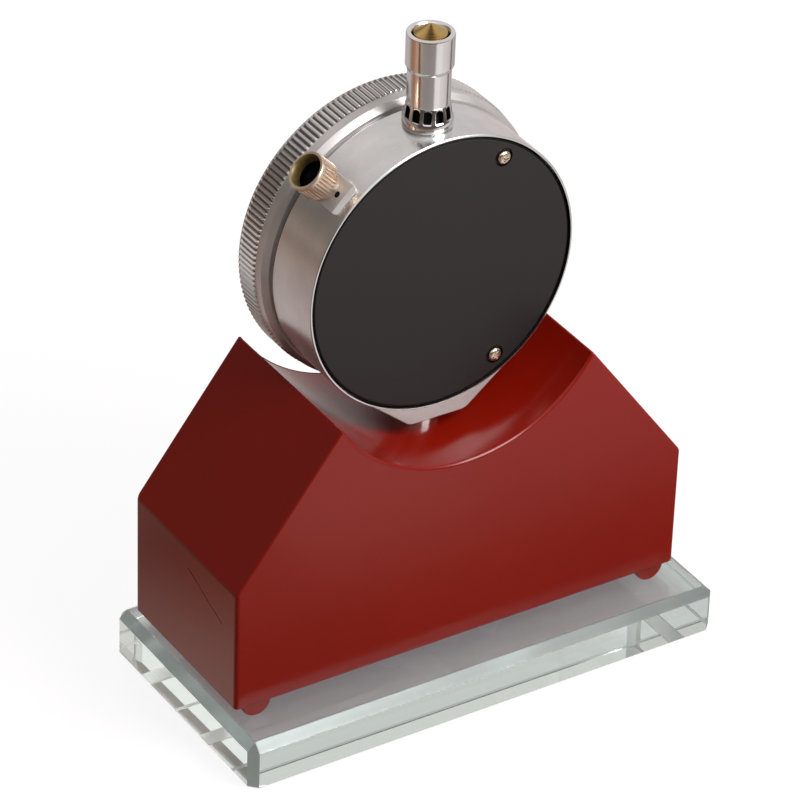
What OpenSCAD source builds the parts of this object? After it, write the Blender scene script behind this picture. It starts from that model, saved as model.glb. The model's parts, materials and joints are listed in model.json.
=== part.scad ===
// Mesh tension meter: a dial gauge on a wedge-shaped base, standing on its glass plate.
// Millimetres. X runs along the base, +Y is the back of the dial, +Z is up.
// The origin is the middle of the glass plate's underside.

/* [Glass plate] */
// Length of the glass plate
plate_l = 106; // [104.5:0.5:130]
// Width of the glass plate
plate_w = 52.5; // [46:0.5:70]
// Thickness of the glass plate
plate_t = 10; // [6:0.5:15]
// Polished chamfer along the plate's edges
plate_chamfer = 1.7; // [0.5:0.1:2.5]
// Distance from the plate's middle to the stem, along the plate
meter_x = 1.9; // [-2:0.1:2.2]

/* [Base casting] */
// Length of the casting
base_l = 100; // [97:0.5:100.5]
// Thickness of the casting, front to back
base_w = 38; // [37:0.5:44]
// Distance from the stem's axis forward to the casting's middle
base_forward = 1; // [0:0.1:1.5]
// Height of the upright ends above the underside
end_h = 26.2; // [22:0.2:30]
// Slope of the two flanks, from the level
flank_angle = 53; // [51:0.5:55]
// Height of the saddle's lowest line above the underside
saddle_h = 40.3; // [38:0.1:43]
// Gap between the bezel's radius and the saddle's radius
saddle_gap = 2.1; // [1.5:0.1:3]
// Rounding of the casting's front and back edges
edge_r = 1; // [0.4:0.1:1.6]
// Rounding of the casting's outline at its corners
corner_r = 1.3; // [0.4:0.1:2]
// Chamfer around the saddle
saddle_chamfer = 0.8; // [0.3:0.1:1.2]
// Radius of the half-round feet
foot_r = 3.1; // [2.6:0.1:4]
// Distance from the stem to the middle of each foot
foot_x = 44.9; // [38:0.1:45]
// How much shorter each foot is than the casting is thick
foot_short = 1.2; // [0:0.2:4]
// Fillet on the inner side of each foot
foot_fillet = 1.5; // [0.6:0.1:2]

/* [Measuring bar] */
// How far the bar stands out when the meter is lifted
bar_travel = 2.5; // [1.5:0.1:3]
// Gap between the bar's flat top and the casting's underside
bar_gap = 0.1; // [0.05:0.05:0.3]
// How much shorter the bar is than the casting is thick
bar_short = 9; // [8:0.5:12]
// Radius of the plunger's neck in the bottom plate
neck_r = 3; // [2.6:0.1:3.4]
// Radius of the plunger's shaft inside the spring
shaft_r = 3; // [2.7:0.1:3.3]
// Radius of the plunger's flange
flange_r = 6.2; // [5.8:0.1:6.4]
// Thickness of the plunger's flange
flange_t = 2; // [1.5:0.1:3]
// Length of the plunger's shaft above its flange
shaft_h = 14.3; // [12:0.1:15]
// Radius of the guide pins
pin_r = 1.5; // [1.2:0.1:1.8]
// Height of the guide pins' tops above the glass
pin_top = 20; // [18:0.5:21]
// Distance from the stem to each guide pin
pin_y = 11; // [10.6:0.1:11.4]
// Outer radius of the guide bushes
bush_r = 3; // [2.6:0.1:3.2]
// Length of the guide bushes
bush_h = 12; // [9:0.5:13]

/* [Spring chamber] */
// Radius of the spring chamber
chamber_r = 6.6; // [6.5:0.1:6.9]
// Height of the chamber's roof above the glass
chamber_top = 30; // [28:0.5:32]
// Wire radius of the return spring
spring_wire = 0.5; // [0.35:0.05:0.6]
// Coil radius of the return spring, to the wire's middle
spring_r = 4.5; // [4.2:0.1:5]
// Turns of the return spring
spring_turns = 8; // [5:1:9]

/* [Bottom plate] */
// Length and width of the bottom plate
bottom_l = 30; // [28:0.5:31]
// Thickness of the bottom plate
bottom_t = 2; // [1.5:0.1:2.5]
// Corner radius of the bottom plate
bottom_corner = 3; // [1:0.5:4]
// Distance from the plate's middle to its screws, along each side
bottom_screw_at = 11.5; // [10.5:0.1:12]
// Shank radius of the bottom plate's screws
bottom_screw_r = 1.25; // [1:0.05:1.4]
// Head radius of the bottom plate's screws
bottom_head_r = 2.3; // [2:0.1:2.4]
// Length of the bottom plate's screws
bottom_screw_l = 8; // [6:0.5:10]

/* [Stem] */
// Radius of the dial's stem
stem_r = 4; // [3.8:0.05:4.2]
// Bore radius of the stem
stem_bore = 2.9; // [2.8:0.05:3]
// Width of the flange's flat underside, below the case
boss_w = 12.4; // [11:0.2:14]
// How far the flange reaches below the case
boss_drop = 2.85; // [2.4:0.05:3.2]
// Distance from the stem to where the flange runs into the case's round
boss_reach = 14.5; // [13:0.1:16]
// Rounding of the flange's lower corners
boss_corner = 2.5; // [1:0.1:2.5]
// Radius of the screw that clamps the stem
set_screw_r = 2; // [1.5:0.1:2.5]
// Length of the screw that clamps the stem
set_screw_l = 8; // [6:0.5:10]
// Radius of the rack spindle
spindle_r = 2.25; // [2.2:0.05:2.4]
// Length of the bush in the stem
spindle_bush_h = 8; // [5:0.5:9]

/* [Dial case] */
// Outer radius of the case
case_r = 28.8; // [28.6:0.1:29]
// Gap between the saddle's lowest line and the case
case_lift = 6.5; // [5:0.1:8]
// Distance from the spindle's axis to the case's back edge
case_back = 7.3; // [7.1:0.1:8]
// Thickness of the case's wall
case_wall = 1.8; // [1.5:0.1:2]
// Width of the rim around the back cover
rim_w = 0.4; // [0.3:0.1:0.8]
// Chamfer on the rim's outer edge
rim_edge = 0.15; // [0.05:0.05:0.2]
// Chamfer on the case's front edge, beside the groove
case_edge = 0.3; // [0.1:0.1:0.5]
// Thickness of the back cover
cover_t = 1.2; // [0.9:0.1:1.3]
// How far the back cover lies below the rim
cover_sunk = 0.2; // [0:0.05:0.4]
// Distance from the middle to the cover's two screws, sideways
cover_screw_x = 12.5; // [11.5:0.1:12.7]
// Distance from the middle to the cover's two screws, up and down
cover_screw_z = 21.5; // [20.8:0.1:21.6]
// Head radius of the cover's screws
cover_head_r = 1.4; // [1.2:0.05:1.6]
// Radius of the bosses that take the cover's screws
cover_boss_r = 2.3; // [1.9:0.1:2.3]
// Length of the cover's screws below their heads
cover_screw_l = 6; // [4:0.5:7]

/* [Bezel] */
// Radius of the bezel over its knurl
bezel_r = 30.4; // [30.2:0.1:30.8]
// Distance from the spindle's axis to the bezel's front edge
bezel_front = 16.6; // [16.4:0.1:17.6]
// Length of the knurled band
knurl_l = 6.2; // [4:0.1:6.2]
// Depth of the knurl's flutes
knurl_depth = 0.3; // [0.15:0.05:0.4]
// Chamfer on the bezel's front edge
bezel_edge = 0.6; // [0.3:0.1:0.8]
// Number of flutes around the bezel
knurl_n = 166; // [120:2:180]
// Width of the bezel's front face, from the knurl in to the window
bezel_lip = 4.2; // [4:0.1:5.4]
// Thickness of the crystal
crystal_t = 1.5; // [1:0.1:1.6]
// Thickness of the scale ring and of the centre dial
dial_t = 0.5; // [0.3:0.05:0.6]
// Radius where the fixed centre dial meets the scale ring
dial_split_r = 17; // [16.8:0.1:19]

/* [Top of the gauge] */
// Height of the collar nut
collar_h = 5.2; // [4.5:0.1:6]
// Radius of the collar nut's slotted part
collar_r = 4.55; // [4.4:0.05:4.8]
// Radius of the collar nut's plain foot
collar_foot_r = 4.8; // [4.6:0.05:5.1]
// Height of the collar nut's plain foot
collar_foot_h = 2.3; // [1.5:0.1:3]
// Number of slots in the collar nut
collar_slots = 12; // [6:1:14]
// Width of each slot in the collar nut
collar_slot_w = 1.3; // [0.8:0.1:1.4]
// Distance from the nut's axis to the floor of its slots
collar_slot_r = 3.6; // [3.4:0.05:3.9]
// Height of the cap's narrow part
cap_neck_h = 6.8; // [6:0.1:8]
// Radius of the cap's narrow part
cap_neck_r = 4.12; // [4:0.02:4.3]
// Height of the cap's head
cap_head_h = 7.3; // [6.8:0.1:9]
// Radius of the cap's head
cap_head_r = 4.58; // [4.4:0.02:5]
// Radius of the brass tip
tip_r = 3.2; // [3:0.05:3.3]
// Height of the brass tip's cone
tip_cone = 1.65; // [1:0.05:2]
// Height of the brass tip below its cone
tip_h = 5.3; // [4.6:0.1:5.4]

/* [Bezel clamp] */
// Angle of the clamp above the level
clamp_angle = 45; // [40:1:50]
// Width of the clamp's lug
lug_w = 6.4; // [5.6:0.1:7]
// Radius of the lug's rear corners
lug_corner = 0.7; // [0.3:0.1:1.5]
// Length of the lug's end that bends down to the case
lug_bend = 0.9; // [0.5:0.1:1.2]
// Radius of the small hole in the lug
lug_hole_r = 0.65; // [0.4:0.05:0.8]
// Distance from the thumb screw back to the small hole
lug_hole_at = 3.2; // [2.8:0.1:4]
// Thickness of the clamp's lug
lug_t = 0.8; // [0.6:0.1:1]
// Distance from the spindle's axis back to the lug's end
lug_back = 5.6; // [5:0.1:6]
// Distance from the spindle's axis forward to the thumb screw
clamp_forward = 0.6; // [0:0.1:1]
// Radius of the thumb screw's head
thumb_r = 3.95; // [3.5:0.05:4.2]
// Height of the thumb screw's head
thumb_h = 5.3; // [4:0.1:6]
// Radius of the thumb screw's shank
thumb_shank_r = 1.5; // [1.2:0.05:1.8]
// Radius of the thumb screw's neck
thumb_neck_r = 2.45; // [2.1:0.05:2.8]
// Height of the thumb screw's neck
thumb_neck_h = 1.4; // [1:0.1:2]
// Plain rim and plain shoulder above and below the flutes
thumb_rim = 0.8; // [0.4:0.1:1.2]
// Wall of the hollow in the thumb screw's head
thumb_wall = 0.6; // [0.45:0.05:0.8]
// Thickness of the thumb screw's head under its hollow
thumb_floor = 2.2; // [1.5:0.1:3]
// Number of flutes around the thumb screw's head
thumb_flutes = 40; // [30:1:44]

/* [Gear train] */
// Tooth pitch of the rack
rack_pitch = 0.625; // [0.625:0.001:0.626]
// Teeth of the rack pinion
rack_teeth = 16; // [16:1:16]
// Teeth of the large gears
gear_teeth = 100; // [100:1:100]
// Teeth of the centre pinion
pinion_teeth = 10; // [10:1:10]
// Module of the gears
gear_module = 0.2; // [0.19:0.01:0.21]
// Thickness of the large gears
gear_t = 0.5; // [0.3:0.05:0.6]
// Radius of the arbors
arbor_r = 0.5; // [0.4:0.05:0.6]
// Radius of the movement plate
bridge_r = 20.5; // [19.5:0.1:21]
// Length of the main pointer
pointer_l = 23.5; // [20:0.5:25]
// Length of the counter hand
counter_l = 5; // [3:0.1:5.4]

/* [Hidden] */
$fn = 96;

// Clearances: pressed or screwed, sliding, running, and loose
press = 0.01;
slide = 0.03;
run = 0.05;
loose = 0.1;
// Overshoot of a cutting tool, and depth of a blind hole past its screw
cut = 1;
drill_past = 1;

// Heights above the glass, on the stem's axis
under = foot_r;
end_top = under + end_h;
saddle_low = under + saddle_h;
window_r = bezel_r - bezel_lip;
saddle_r = bezel_r + saddle_gap;
saddle_mid = saddle_low + saddle_r;
case_low = saddle_low + case_lift;
dial_z = case_low + case_r;
base_mid = base_l / 2 - (saddle_mid - end_top) / tan(flank_angle);
plate_in = under + bottom_t;
flange_low = plate_in + bar_travel + run;
flange_top = flange_low + flange_t;
plunger_top = flange_top + shaft_h;
stem_low = chamber_top + loose;
bar_stub = 2;
bush_top = plate_in + bush_h;

// Top of the gauge: a flat on the case, then nut, cap and tip
flat_depth = 0.3;
collar_low = dial_z + case_r - flat_depth;
collar_top = collar_low + collar_h;
head_low = collar_top + cap_neck_h;
cap_top = head_low + cap_head_h;
head_chamfer = 0.8;
upper_bush_wall = 0.75;
upper_bush_r = spindle_r + upper_bush_wall;
bush_flange_t = 1.1;
bush_flange_w = 1.2;
bush_flange_drop = 0.9;
bush_flange_top = dial_z + case_r - case_wall - bush_flange_drop;
collar_clear = 0.3;
collar_edge = 0.3;
collar_neck = 0.35;
// Angle of the nut's first slot, from +X
collar_turn = 57;
tip_low = cap_top - tip_h;
tip_room = 0.3;
upper_bush_top = tip_low - bar_travel - tip_room;
tip_stub_r = 1.4;
tip_stub_h = 3;
tip_point_r = 0.15;

// Stations along the dial's axis, positive to the back
cover_back = case_back - cover_sunk;
cover_seat = cover_back - cover_t;
cover_edge = 0.2;
screw_sunk = 0.6;
head_room = 0.4;
screw_head_h = 0.9;
screw_shank_r = cover_head_r / 2;
screw_low = cover_back - screw_sunk - cover_screw_l;
seat_r = case_r - rim_w;
inner_r = case_r - case_wall;
spigot_in = 1.6;
spigot_r = case_r - spigot_in;
groove_deep = 0.8;
groove_r = case_r - groove_deep;
groove_back = -6.4;
step_at = -7.2;
spigot_front = -11.2;
spigot_wall = 1.5;
floor_back = -9.2;
floor_front = -10.2;
dial_back = -11.35;
dial_front = dial_back - dial_t;
platform_r = dial_split_r - 1.5;
bezel_back = step_at - loose;
bezel_seat = dial_back - run;
lip_t = 0.8;
crystal_front = -bezel_front + lip_t;
crystal_back = crystal_front + crystal_t;
bezel_bore = spigot_r + loose;
crystal_hold = 0.6;
crystal_r = bezel_bore + crystal_hold;
snap_at = -9.3;
snap_wire = 0.35;
snap_room = snap_wire + run;

// Gear train: arbors, wheels and hands
pitch_r = rack_pitch * rack_teeth / (2 * PI);
rack_deep = 0.75;
rack_line = spindle_r - rack_deep;
arbor_x = rack_line + pitch_r;
wheel_r = gear_module * gear_teeth / 2;
leaf_r = gear_module * pinion_teeth / 2;
centres = wheel_r + leaf_r;
arbor_z = sqrt(centres * centres - arbor_x * arbor_x);
train_angle = atan2(-arbor_z, -arbor_x);
bridge_front = -3.9;
bridge_back = -2.9;
wheel_at = -8.2;
takeup_at = -6.4;
pillar_at = 17;
pillar_angles = [25, -25, 155, -155];
cock_low = 3;
cock_top = 3.8;
spring_post = [8, -16];
spring_post_r = 0.8;
rack_wire = 0.2;
rack_coil_r = 1.2;
rack_turns = 16;
hair_inner = 1.4;
hair_outer = 5.15;
hair_turns = 5;
hair_t = 0.12;
hair_post_r = 0.5;
hair_low = -5.2;
hair_h = 0.4;
guide_pin_z = 2;
guide_pin_r = 0.7;
guide_pin_past = 0.9;
pillar_r = 2;
pillar_stud_r = 1.2;
pillar_screw_r = 0.8;
pillar_screw_l = 3.5;
gear_hole_at = 5.5;
gear_hole_r = 2.4;
arbor_hole = 0.3;

// Both hands, from the dial forward: gap, boss, gap, boss
hand_skin = 0.15;
counter_gap = 0.3;
counter_boss = 0.55;
pointer_gap = 0.2;
pointer_boss = 0.9;
counter_back = dial_front - counter_gap;
counter_front = counter_back - counter_boss;
pointer_back = counter_front - pointer_gap;
pointer_front = pointer_back - pointer_boss;

// Places a child on the stem's axis, with the glass's top as zero
module meter() {
    translate([meter_x, 0, plate_t]) children();
}

// Places a child on the dial's axis, with +Z to the back and -Y up
module dial() {
    meter() translate([0, 0, dial_z]) rotate([-90, 0, 0]) children();
}

// Places a child on the dial's face, x to the right and z up from its middle
module at(x, z, y) {
    translate([x, -z, y]) children();
}

// Places a child on the clamp's axis, with +Z away from the dial's middle
module clamp() {
    meter() translate([0, -clamp_forward, dial_z]) rotate([0, 90 - clamp_angle, 0]) children();
}

// A disc or rod of radius r between two heights
module rod(r, low, high) {
    translate([0, 0, low]) cylinder(r = r, h = high - low);
}

// A tube between two heights
module tube(outer, inner, low, high) {
    difference() {
        rod(outer, low, high);
        rod(inner, low - cut, high + cut);
    }
}

// A bar along Y from an outline in X and Z
module along_y(length) {
    rotate([90, 0, 0]) linear_extrude(length, center = true) children();
}

// A rounded square, flat
module soft_square(size, r) {
    offset(r = r) square(size - 2 * r, center = true);
}

// Outline with n straight-sided teeth, one of them along +X
module toothed(n, root_r, top_r, root_w, top_w) {
    root_a = root_w / root_r * 90 / PI;
    top_a = top_w / top_r * 90 / PI;
    polygon([for (k = [0:n - 1], p = [[-root_a, root_r], [-top_a, top_r], [top_a, top_r], [root_a, root_r]])
        let (a = k * 360 / n + p[0]) [p[1] * cos(a), p[1] * sin(a)]]);
}

// Outline of a straight knurl with n sharp flutes
module knurled(n, r, depth) {
    polygon([for (k = [0:2 * n - 1]) let (a = k * 180 / n, q = k % 2 == 0 ? r : r - depth)
        [q * cos(a), q * sin(a)]]);
}

// Rings of a six-sided tube along a coil, eight rings a turn
function coil_ring(r, low, high, turns, wire, k) = let (
    a = k * 45,
    z = low + (high - low) * k / (turns * 8),
    lean = atan2(high - low, 2 * PI * r * turns))
    [for (j = [0:5]) let (u = wire * cos(j * 60), v = wire * sin(j * 60))
        [(r + u) * cos(a) + v * sin(lean) * sin(a), (r + u) * sin(a) - v * sin(lean) * cos(a),
            z + v * cos(lean)]];

// A coil of round wire between two heights
module coil(r, low, high, turns, wire) {
    rings = turns * 8;
    points = [for (k = [0:rings], p = coil_ring(r, low, high, turns, wire, k)) p];
    sides = [for (k = [0:rings - 1], j = [0:5]) let (a = 6 * k + j, b = 6 * k + (j + 1) % 6)
        each [[a, a + 6, b], [b, a + 6, b + 6]]];
    first = [for (j = [1:4]) [0, j, j + 1]];
    last = [for (j = [1:4]) [6 * rings, 6 * rings + j + 1, 6 * rings + j]];
    polyhedron(points, concat(sides, first, last));
    echo("gap between turns", (high - low) / turns - 2 * wire);
}

// A pointed hand on its boss, the point to -Y, with a short tail
module hand(length, w, tip_w, tail, tail_w) {
    polygon([[-w / 2, 0], [-tip_w / 2, -length], [tip_w / 2, -length], [w / 2, 0], [tail_w / 2, tail],
        [-tail_w / 2, tail]]);
}

// A slotted cheese-head screw pointing down, its head's underside at zero
module slotted_screw(shank_r, length, head_r, head_h) {
    difference() {
        union() {
            rod(head_r, 0, head_h);
            rod(shank_r, -length, cut / 10);
        }
        translate([0, 0, head_h]) cube([3 * head_r, head_r / 3, head_h], center = true);
    }
}

// Glass plate with polished chamfers along its top and upright edges
module calibration_plate() {
    x = plate_l / 2;
    y = plate_w / 2;
    c = plate_chamfer;
    color("#d5e2dd") intersection() {
        linear_extrude(plate_t) polygon([[c - x, -y], [x - c, -y], [x, c - y], [x, y - c], [x - c, y],
            [c - x, y], [-x, y - c], [-x, c - y]]);
        along_y(plate_w + cut) bevelled(plate_l);
        rotate([0, 0, 90]) along_y(plate_l + cut) bevelled(plate_w);
    }
}

// Section of the glass plate, bevelled at the top and broken at the bottom
module bevelled(w) {
    c = plate_chamfer;
    b = c / 4;
    polygon([[-w / 2 + b, 0], [w / 2 - b, 0], [w / 2, b], [w / 2, plate_t - c], [w / 2 - c, plate_t],
        [-w / 2 + c, plate_t], [-w / 2, plate_t - c], [-w / 2, b]]);
}

// Half-round measuring bar between the feet
module measuring_bar() {
    length = base_w - bar_short;
    color("#9a9a9a") meter() difference() {
        translate([0, -base_forward, under]) along_y(length) intersection() {
            circle(foot_r);
            translate([-foot_r, -foot_r - cut]) square([2 * foot_r, foot_r + cut - bar_gap]);
        }
        rod(pin_r + press, under - bar_stub, under + cut);
        for (s = [-1, 1]) translate([0, s * pin_y, 0]) rod(pin_r + press, under - bar_stub, under + cut);
    }
}

// Plunger that joins the bar to the gauge's spindle, with a flange for the spring and the stop
module plunger() {
    color("#b0b0b0") meter() difference() {
        union() {
            rod(pin_r, under - bar_stub, under);
            rod(neck_r, under - bar_gap, flange_low + cut / 2);
            rod(flange_r, flange_low, flange_top);
            rod(shaft_r, flange_top - cut / 2, plunger_top);
        }
        rod(tip_stub_r + press, plunger_top - tip_stub_h - loose, plunger_top + cut);
    }
}

// Two pins that keep the bar level
module guide_pins() {
    color("#c0c0c0") meter() for (s = [-1, 1]) translate([0, s * pin_y, 0]) {
        rod(pin_r, under - bar_stub, pin_top);
    }
}

// Spindle with the rack cut into its left side
module rack_spindle() {
    tooth_h = 0.29 * rack_pitch;
    root_h = 0.37 * rack_pitch;
    wide = 0.416 * rack_pitch;
    narrow = 0.208 * rack_pitch;
    half = 11;
    first = arbor_z - half * rack_pitch;
    color("#c8c8c8") meter() difference() {
        union() {
            rod(spindle_r, plunger_top, tip_low);
            rod(tip_stub_r, plunger_top - tip_stub_h, plunger_top + cut);
            rod(tip_stub_r, tip_low - cut, tip_low + tip_stub_h);
        }
        translate([0, 0, dial_z]) along_y(2 * spindle_r + cut) polygon(concat(
            [[-spindle_r - cut, first - rack_pitch], [-rack_line - tooth_h, first - rack_pitch]],
            [for (k = [0:2 * half],
                p = [[wide, tooth_h], [narrow, -root_h], [-narrow, -root_h], [-wide, tooth_h]])
                [-rack_line - p[1], first + k * rack_pitch - p[0]]],
            [[-rack_line - tooth_h, first + (2 * half + 1) * rack_pitch],
                [-spindle_r - cut, first + (2 * half + 1) * rack_pitch]]));
        translate([0, 0, dial_z + guide_pin_z]) rotate([0, 90, 0]) {
            rod(guide_pin_r + press, 0, spindle_r + cut);
        }
    }
}

// Pin on the spindle that keeps it from turning and holds the rack's spring
module spindle_guide_pin() {
    color("#c8c8c8") meter() translate([0, 0, dial_z + guide_pin_z]) rotate([0, 90, 0]) {
        rod(guide_pin_r, press, spring_post[0] + guide_pin_past);
    }
}

// Brass tip at the spindle's top, with a low cone
module brass_tip() {
    color("#a08030") meter() difference() {
        union() {
            rod(tip_r, tip_low, cap_top);
            translate([0, 0, cap_top]) cylinder(r1 = tip_r, r2 = tip_point_r, h = tip_cone);
        }
        rod(tip_stub_r + press, tip_low - cut, tip_low + tip_stub_h + loose);
    }
}

// Side outline of the casting before the saddle is cut
module base_outline(inset) {
    offset(r = corner_r) offset(delta = -corner_r - inset) polygon([[-base_l / 2, under],
        [base_l / 2, under], [base_l / 2, end_top], [base_mid, saddle_mid], [-base_mid, saddle_mid],
        [-base_l / 2, end_top]]);
}

// Half-round foot with a fillet on its left side
module foot_outline() {
    fillet_x = sqrt(pow(foot_r + foot_fillet, 2) - pow(foot_fillet, 2));
    circle(foot_r);
    difference() {
        polygon([[0, cut], [0, 0], [-fillet_x, -foot_fillet], [-fillet_x, cut]]);
        translate([-fillet_x, -foot_fillet]) circle(foot_fillet);
    }
}

// Red casting: wedge flanks, round saddle, two feet, and the bores for stem, spring and pins
module base_casting() {
    color("#7d2a20") meter() difference() {
        translate([0, -base_forward, 0]) union() {
            hull() for (a = [0:30:90]) along_y(base_w - 2 * edge_r * (1 - cos(a))) {
                base_outline(edge_r * (1 - sin(a)), $fn = 24);
            }
            for (s = [0, 1]) mirror([s, 0, 0]) translate([foot_x, 0, under]) {
                along_y(base_w - foot_short) foot_outline();
            }
        }
        translate([0, 0, saddle_mid]) rotate([90, 0, 0]) rod(saddle_r, -base_w, base_w);
        for (s = [0, 1]) translate([0, -base_forward, saddle_mid]) mirror([0, s, 0]) rotate([-90, 0, 0]) {
            translate([0, 0, base_w / 2 - saddle_chamfer]) {
                cylinder(r1 = saddle_r, r2 = saddle_r + saddle_chamfer + cut, h = saddle_chamfer + cut);
            }
        }
        rod(stem_r + press, chamber_top - cut, saddle_mid);
        rod(chamber_r, 0, chamber_top);
        translate([0, 0, under - cut]) linear_extrude(bottom_t + cut) {
            soft_square(bottom_l + 2 * loose, bottom_corner);
        }
        for (s = [-1, 1]) translate([0, s * pin_y, 0]) {
            rod(bush_r + press, under, bush_top);
            rod(pin_r + head_room, under, pin_top + drill_past);
        }
        for (x = [-1, 1], y = [-1, 1]) translate([x * bottom_screw_at, y * bottom_screw_at, 0]) {
            rod(bottom_screw_r + press, under, under + bottom_screw_l + drill_past);
        }
        stem_clamp_axis() rod(set_screw_r + press, -base_w, 0);
    }
}

// Places a child on the axis of the screw that clamps the stem, +Z to the back
module stem_clamp_axis() {
    translate([0, 0, (chamber_top + saddle_low) / 2]) rotate([-90, 0, 0]) children();
}

// Grub screw in the front of the casting, against the stem
module stem_set_screw() {
    socket = 2;
    color("#404040") meter() stem_clamp_axis() difference() {
        rod(set_screw_r, -stem_r - set_screw_l, -stem_r);
        translate([0, 0, -stem_r - set_screw_l - cut]) {
            cylinder(r = set_screw_r / 2, h = socket + cut, $fn = 6);
        }
    }
}

// Plate that closes the spring chamber and stops the plunger
module bottom_plate() {
    color("#3c3c3c") meter() difference() {
        translate([0, 0, under]) linear_extrude(bottom_t) soft_square(bottom_l, bottom_corner);
        rod(neck_r + run, 0, plate_in + cut);
        for (s = [-1, 1]) translate([0, s * pin_y, 0]) rod(pin_r + loose, 0, plate_in + cut);
        for (x = [-1, 1], y = [-1, 1]) translate([x * bottom_screw_at, y * bottom_screw_at, under]) {
            rod(bottom_screw_r + loose, -cut, bottom_t + cut);
            translate([0, 0, -loose]) countersink(bottom_head_r + loose, bottom_screw_r);
        }
    }
}

// Cone of a countersunk head, wide end down
module countersink(wide, narrow) {
    cylinder(r1 = wide, r2 = narrow, h = wide - narrow);
}

// Four countersunk screws with hexagon sockets
module bottom_plate_screws() {
    socket = 1;
    for (x = [-1, 1], y = [-1, 1]) color("#909090") meter() {
        translate([x * bottom_screw_at, y * bottom_screw_at, under]) difference() {
            union() {
                countersink(bottom_head_r, bottom_screw_r);
                rod(bottom_screw_r, loose, bottom_screw_l);
            }
            translate([0, 0, -cut]) cylinder(r = bottom_screw_r * 0.6, h = socket + cut, $fn = 6);
        }
    }
}

// Two bushes pressed into the casting for the guide pins
module guide_bushes() {
    color("#b08d3c") meter() for (s = [-1, 1]) translate([0, s * pin_y, 0]) {
        tube(bush_r, pin_r + slide, plate_in, bush_top);
    }
}

// Spring that pushes the plunger and the bar out of the casting
module return_spring() {
    color("#a8a8a8") meter() {
        coil(spring_r, flange_top + spring_wire + loose, chamber_top - spring_wire - loose, spring_turns,
            spring_wire);
    }
}

// Stem of the gauge, from the case's wall down into the casting
module stem() {
    color("#d0d0d0") meter() tube(stem_r, stem_bore, stem_low, dial_z - inner_r - 2 * loose);
}

// Outline of the flange from behind: flat underside, round corners, sides that run into the case
module boss_outline() {
    low = case_low - boss_drop;
    meet = dial_z - sqrt(case_r * case_r - boss_reach * boss_reach);
    lean = atan2(meet - low, boss_reach - boss_w / 2);
    d = boss_corner * tan(lean / 2);
    corner = boss_w / 2 - d;
    side = [boss_w / 2 + d * cos(lean), low + d * sin(lean)];
    polygon([[-corner, low], [corner, low], side, [boss_reach, meet], [0, dial_z], [-boss_reach, meet],
        [-side[0], side[1]]]);
    for (s = [-1, 1]) translate([s * corner, low + boss_corner]) circle(boss_corner);
}

// Flange that joins the stem to the case, flush with the case's back
module stem_flange() {
    front = step_at + 2 * loose;
    color("#dcd8d6") difference() {
        meter() translate([0, (case_back + front) / 2, 0]) along_y(case_back - front) boss_outline();
        dial() rod(case_r + press, -plate_w, plate_w, $fn = 360);
        meter() rod(stem_r + press, 0, dial_z);
    }
}

// Bush in the stem's lower end
module lower_bush() {
    color("#b08d3c") meter() tube(stem_bore - press, spindle_r + slide, stem_low, stem_low + spindle_bush_h);
}

// Gauge case: round wall, floor behind the dial, spigot for the bezel and bosses for the screws
module dial_case() {
    color("#a8a09e") difference() {
        dial() difference() {
            union() {
                rotate_extrude() polygon([[0, dial_back], [platform_r, dial_back], [platform_r, floor_front],
                    [spigot_r - spigot_wall, floor_front], [spigot_r - spigot_wall, spigot_front],
                    [spigot_r, spigot_front], [spigot_r, step_at], [groove_r, step_at],
                    [groove_r, groove_back], [case_r - case_edge, groove_back],
                    [case_r, groove_back + case_edge], [case_r, case_back - rim_edge],
                    [case_r - rim_edge, case_back], [seat_r, case_back],
                    [seat_r, cover_seat], [inner_r, cover_seat], [inner_r, floor_back], [0, floor_back]]);
                for (s = [-1, 1]) at(-cover_screw_x, s * cover_screw_z, 0) {
                    rod(cover_boss_r, floor_back - cut / 2, cover_seat);
                }
            }
            tube(spigot_r + cut, spigot_r - snap_room, snap_at - snap_room, snap_at + snap_room);
            for (s = [-1, 1]) at(-cover_screw_x, s * cover_screw_z, 0) {
                rod(screw_shank_r + press, screw_low - cut, case_back);
            }
            rod(arbor_r + run, dial_back - cut, floor_back + cut);
            at(-arbor_x, arbor_z, 0) rod(arbor_r + run, dial_back - cut, floor_back + cut);
            at(arbor_x, -arbor_z, 0) rod(arbor_r + run, floor_front, floor_back + cut);
            for (a = pillar_angles) at(pillar_at * cos(a), pillar_at * sin(a), 0) {
                rod(pillar_stud_r + press, floor_front - cut, floor_back + cut);
            }
        }
        meter() rod(stem_r + press, case_low - cut, dial_z - inner_r + cut);
        meter() rod(upper_bush_r + press, dial_z + inner_r - cut, dial_z + case_r + cut);
        meter() rod(collar_foot_r + collar_clear, collar_low, dial_z + case_r + cut);
        clamp() rod(thumb_shank_r + press, inner_r - cut, case_r + cut);
    }
}

// Black back cover with a chamfered edge and sunk places for its screws
module back_cover() {
    outer = seat_r - loose / 2;
    color("#35312f") dial() difference() {
        rotate_extrude() polygon([[0, cover_seat], [outer, cover_seat], [outer, cover_back - cover_edge],
            [outer - cover_edge, cover_back], [0, cover_back]]);
        for (s = [-1, 1]) at(-cover_screw_x, s * cover_screw_z, 0) {
            rod(screw_shank_r + loose, cover_seat - cut, cover_back + cut);
            rod(cover_head_r + head_room, cover_back - screw_sunk, cover_back + cut);
        }
    }
}

// Two small cross-head screws
module back_cover_screws() {
    cross_l = 1.2 * cover_head_r;
    cross_w = 0.25 * cover_head_r;
    color("#c9b48a") dial() for (s = [-1, 1]) at(-cover_screw_x, s * cover_screw_z, cover_back - screw_sunk) {
        difference() {
            union() {
                rod(cover_head_r, 0, screw_head_h);
                rod(screw_shank_r, -cover_screw_l, screw_head_h / 2);
            }
            for (a = [0, 90]) rotate([0, 0, a]) translate([0, 0, screw_head_h]) {
                cube([cross_l, cross_w, screw_head_h], center = true);
            }
        }
    }
}

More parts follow.
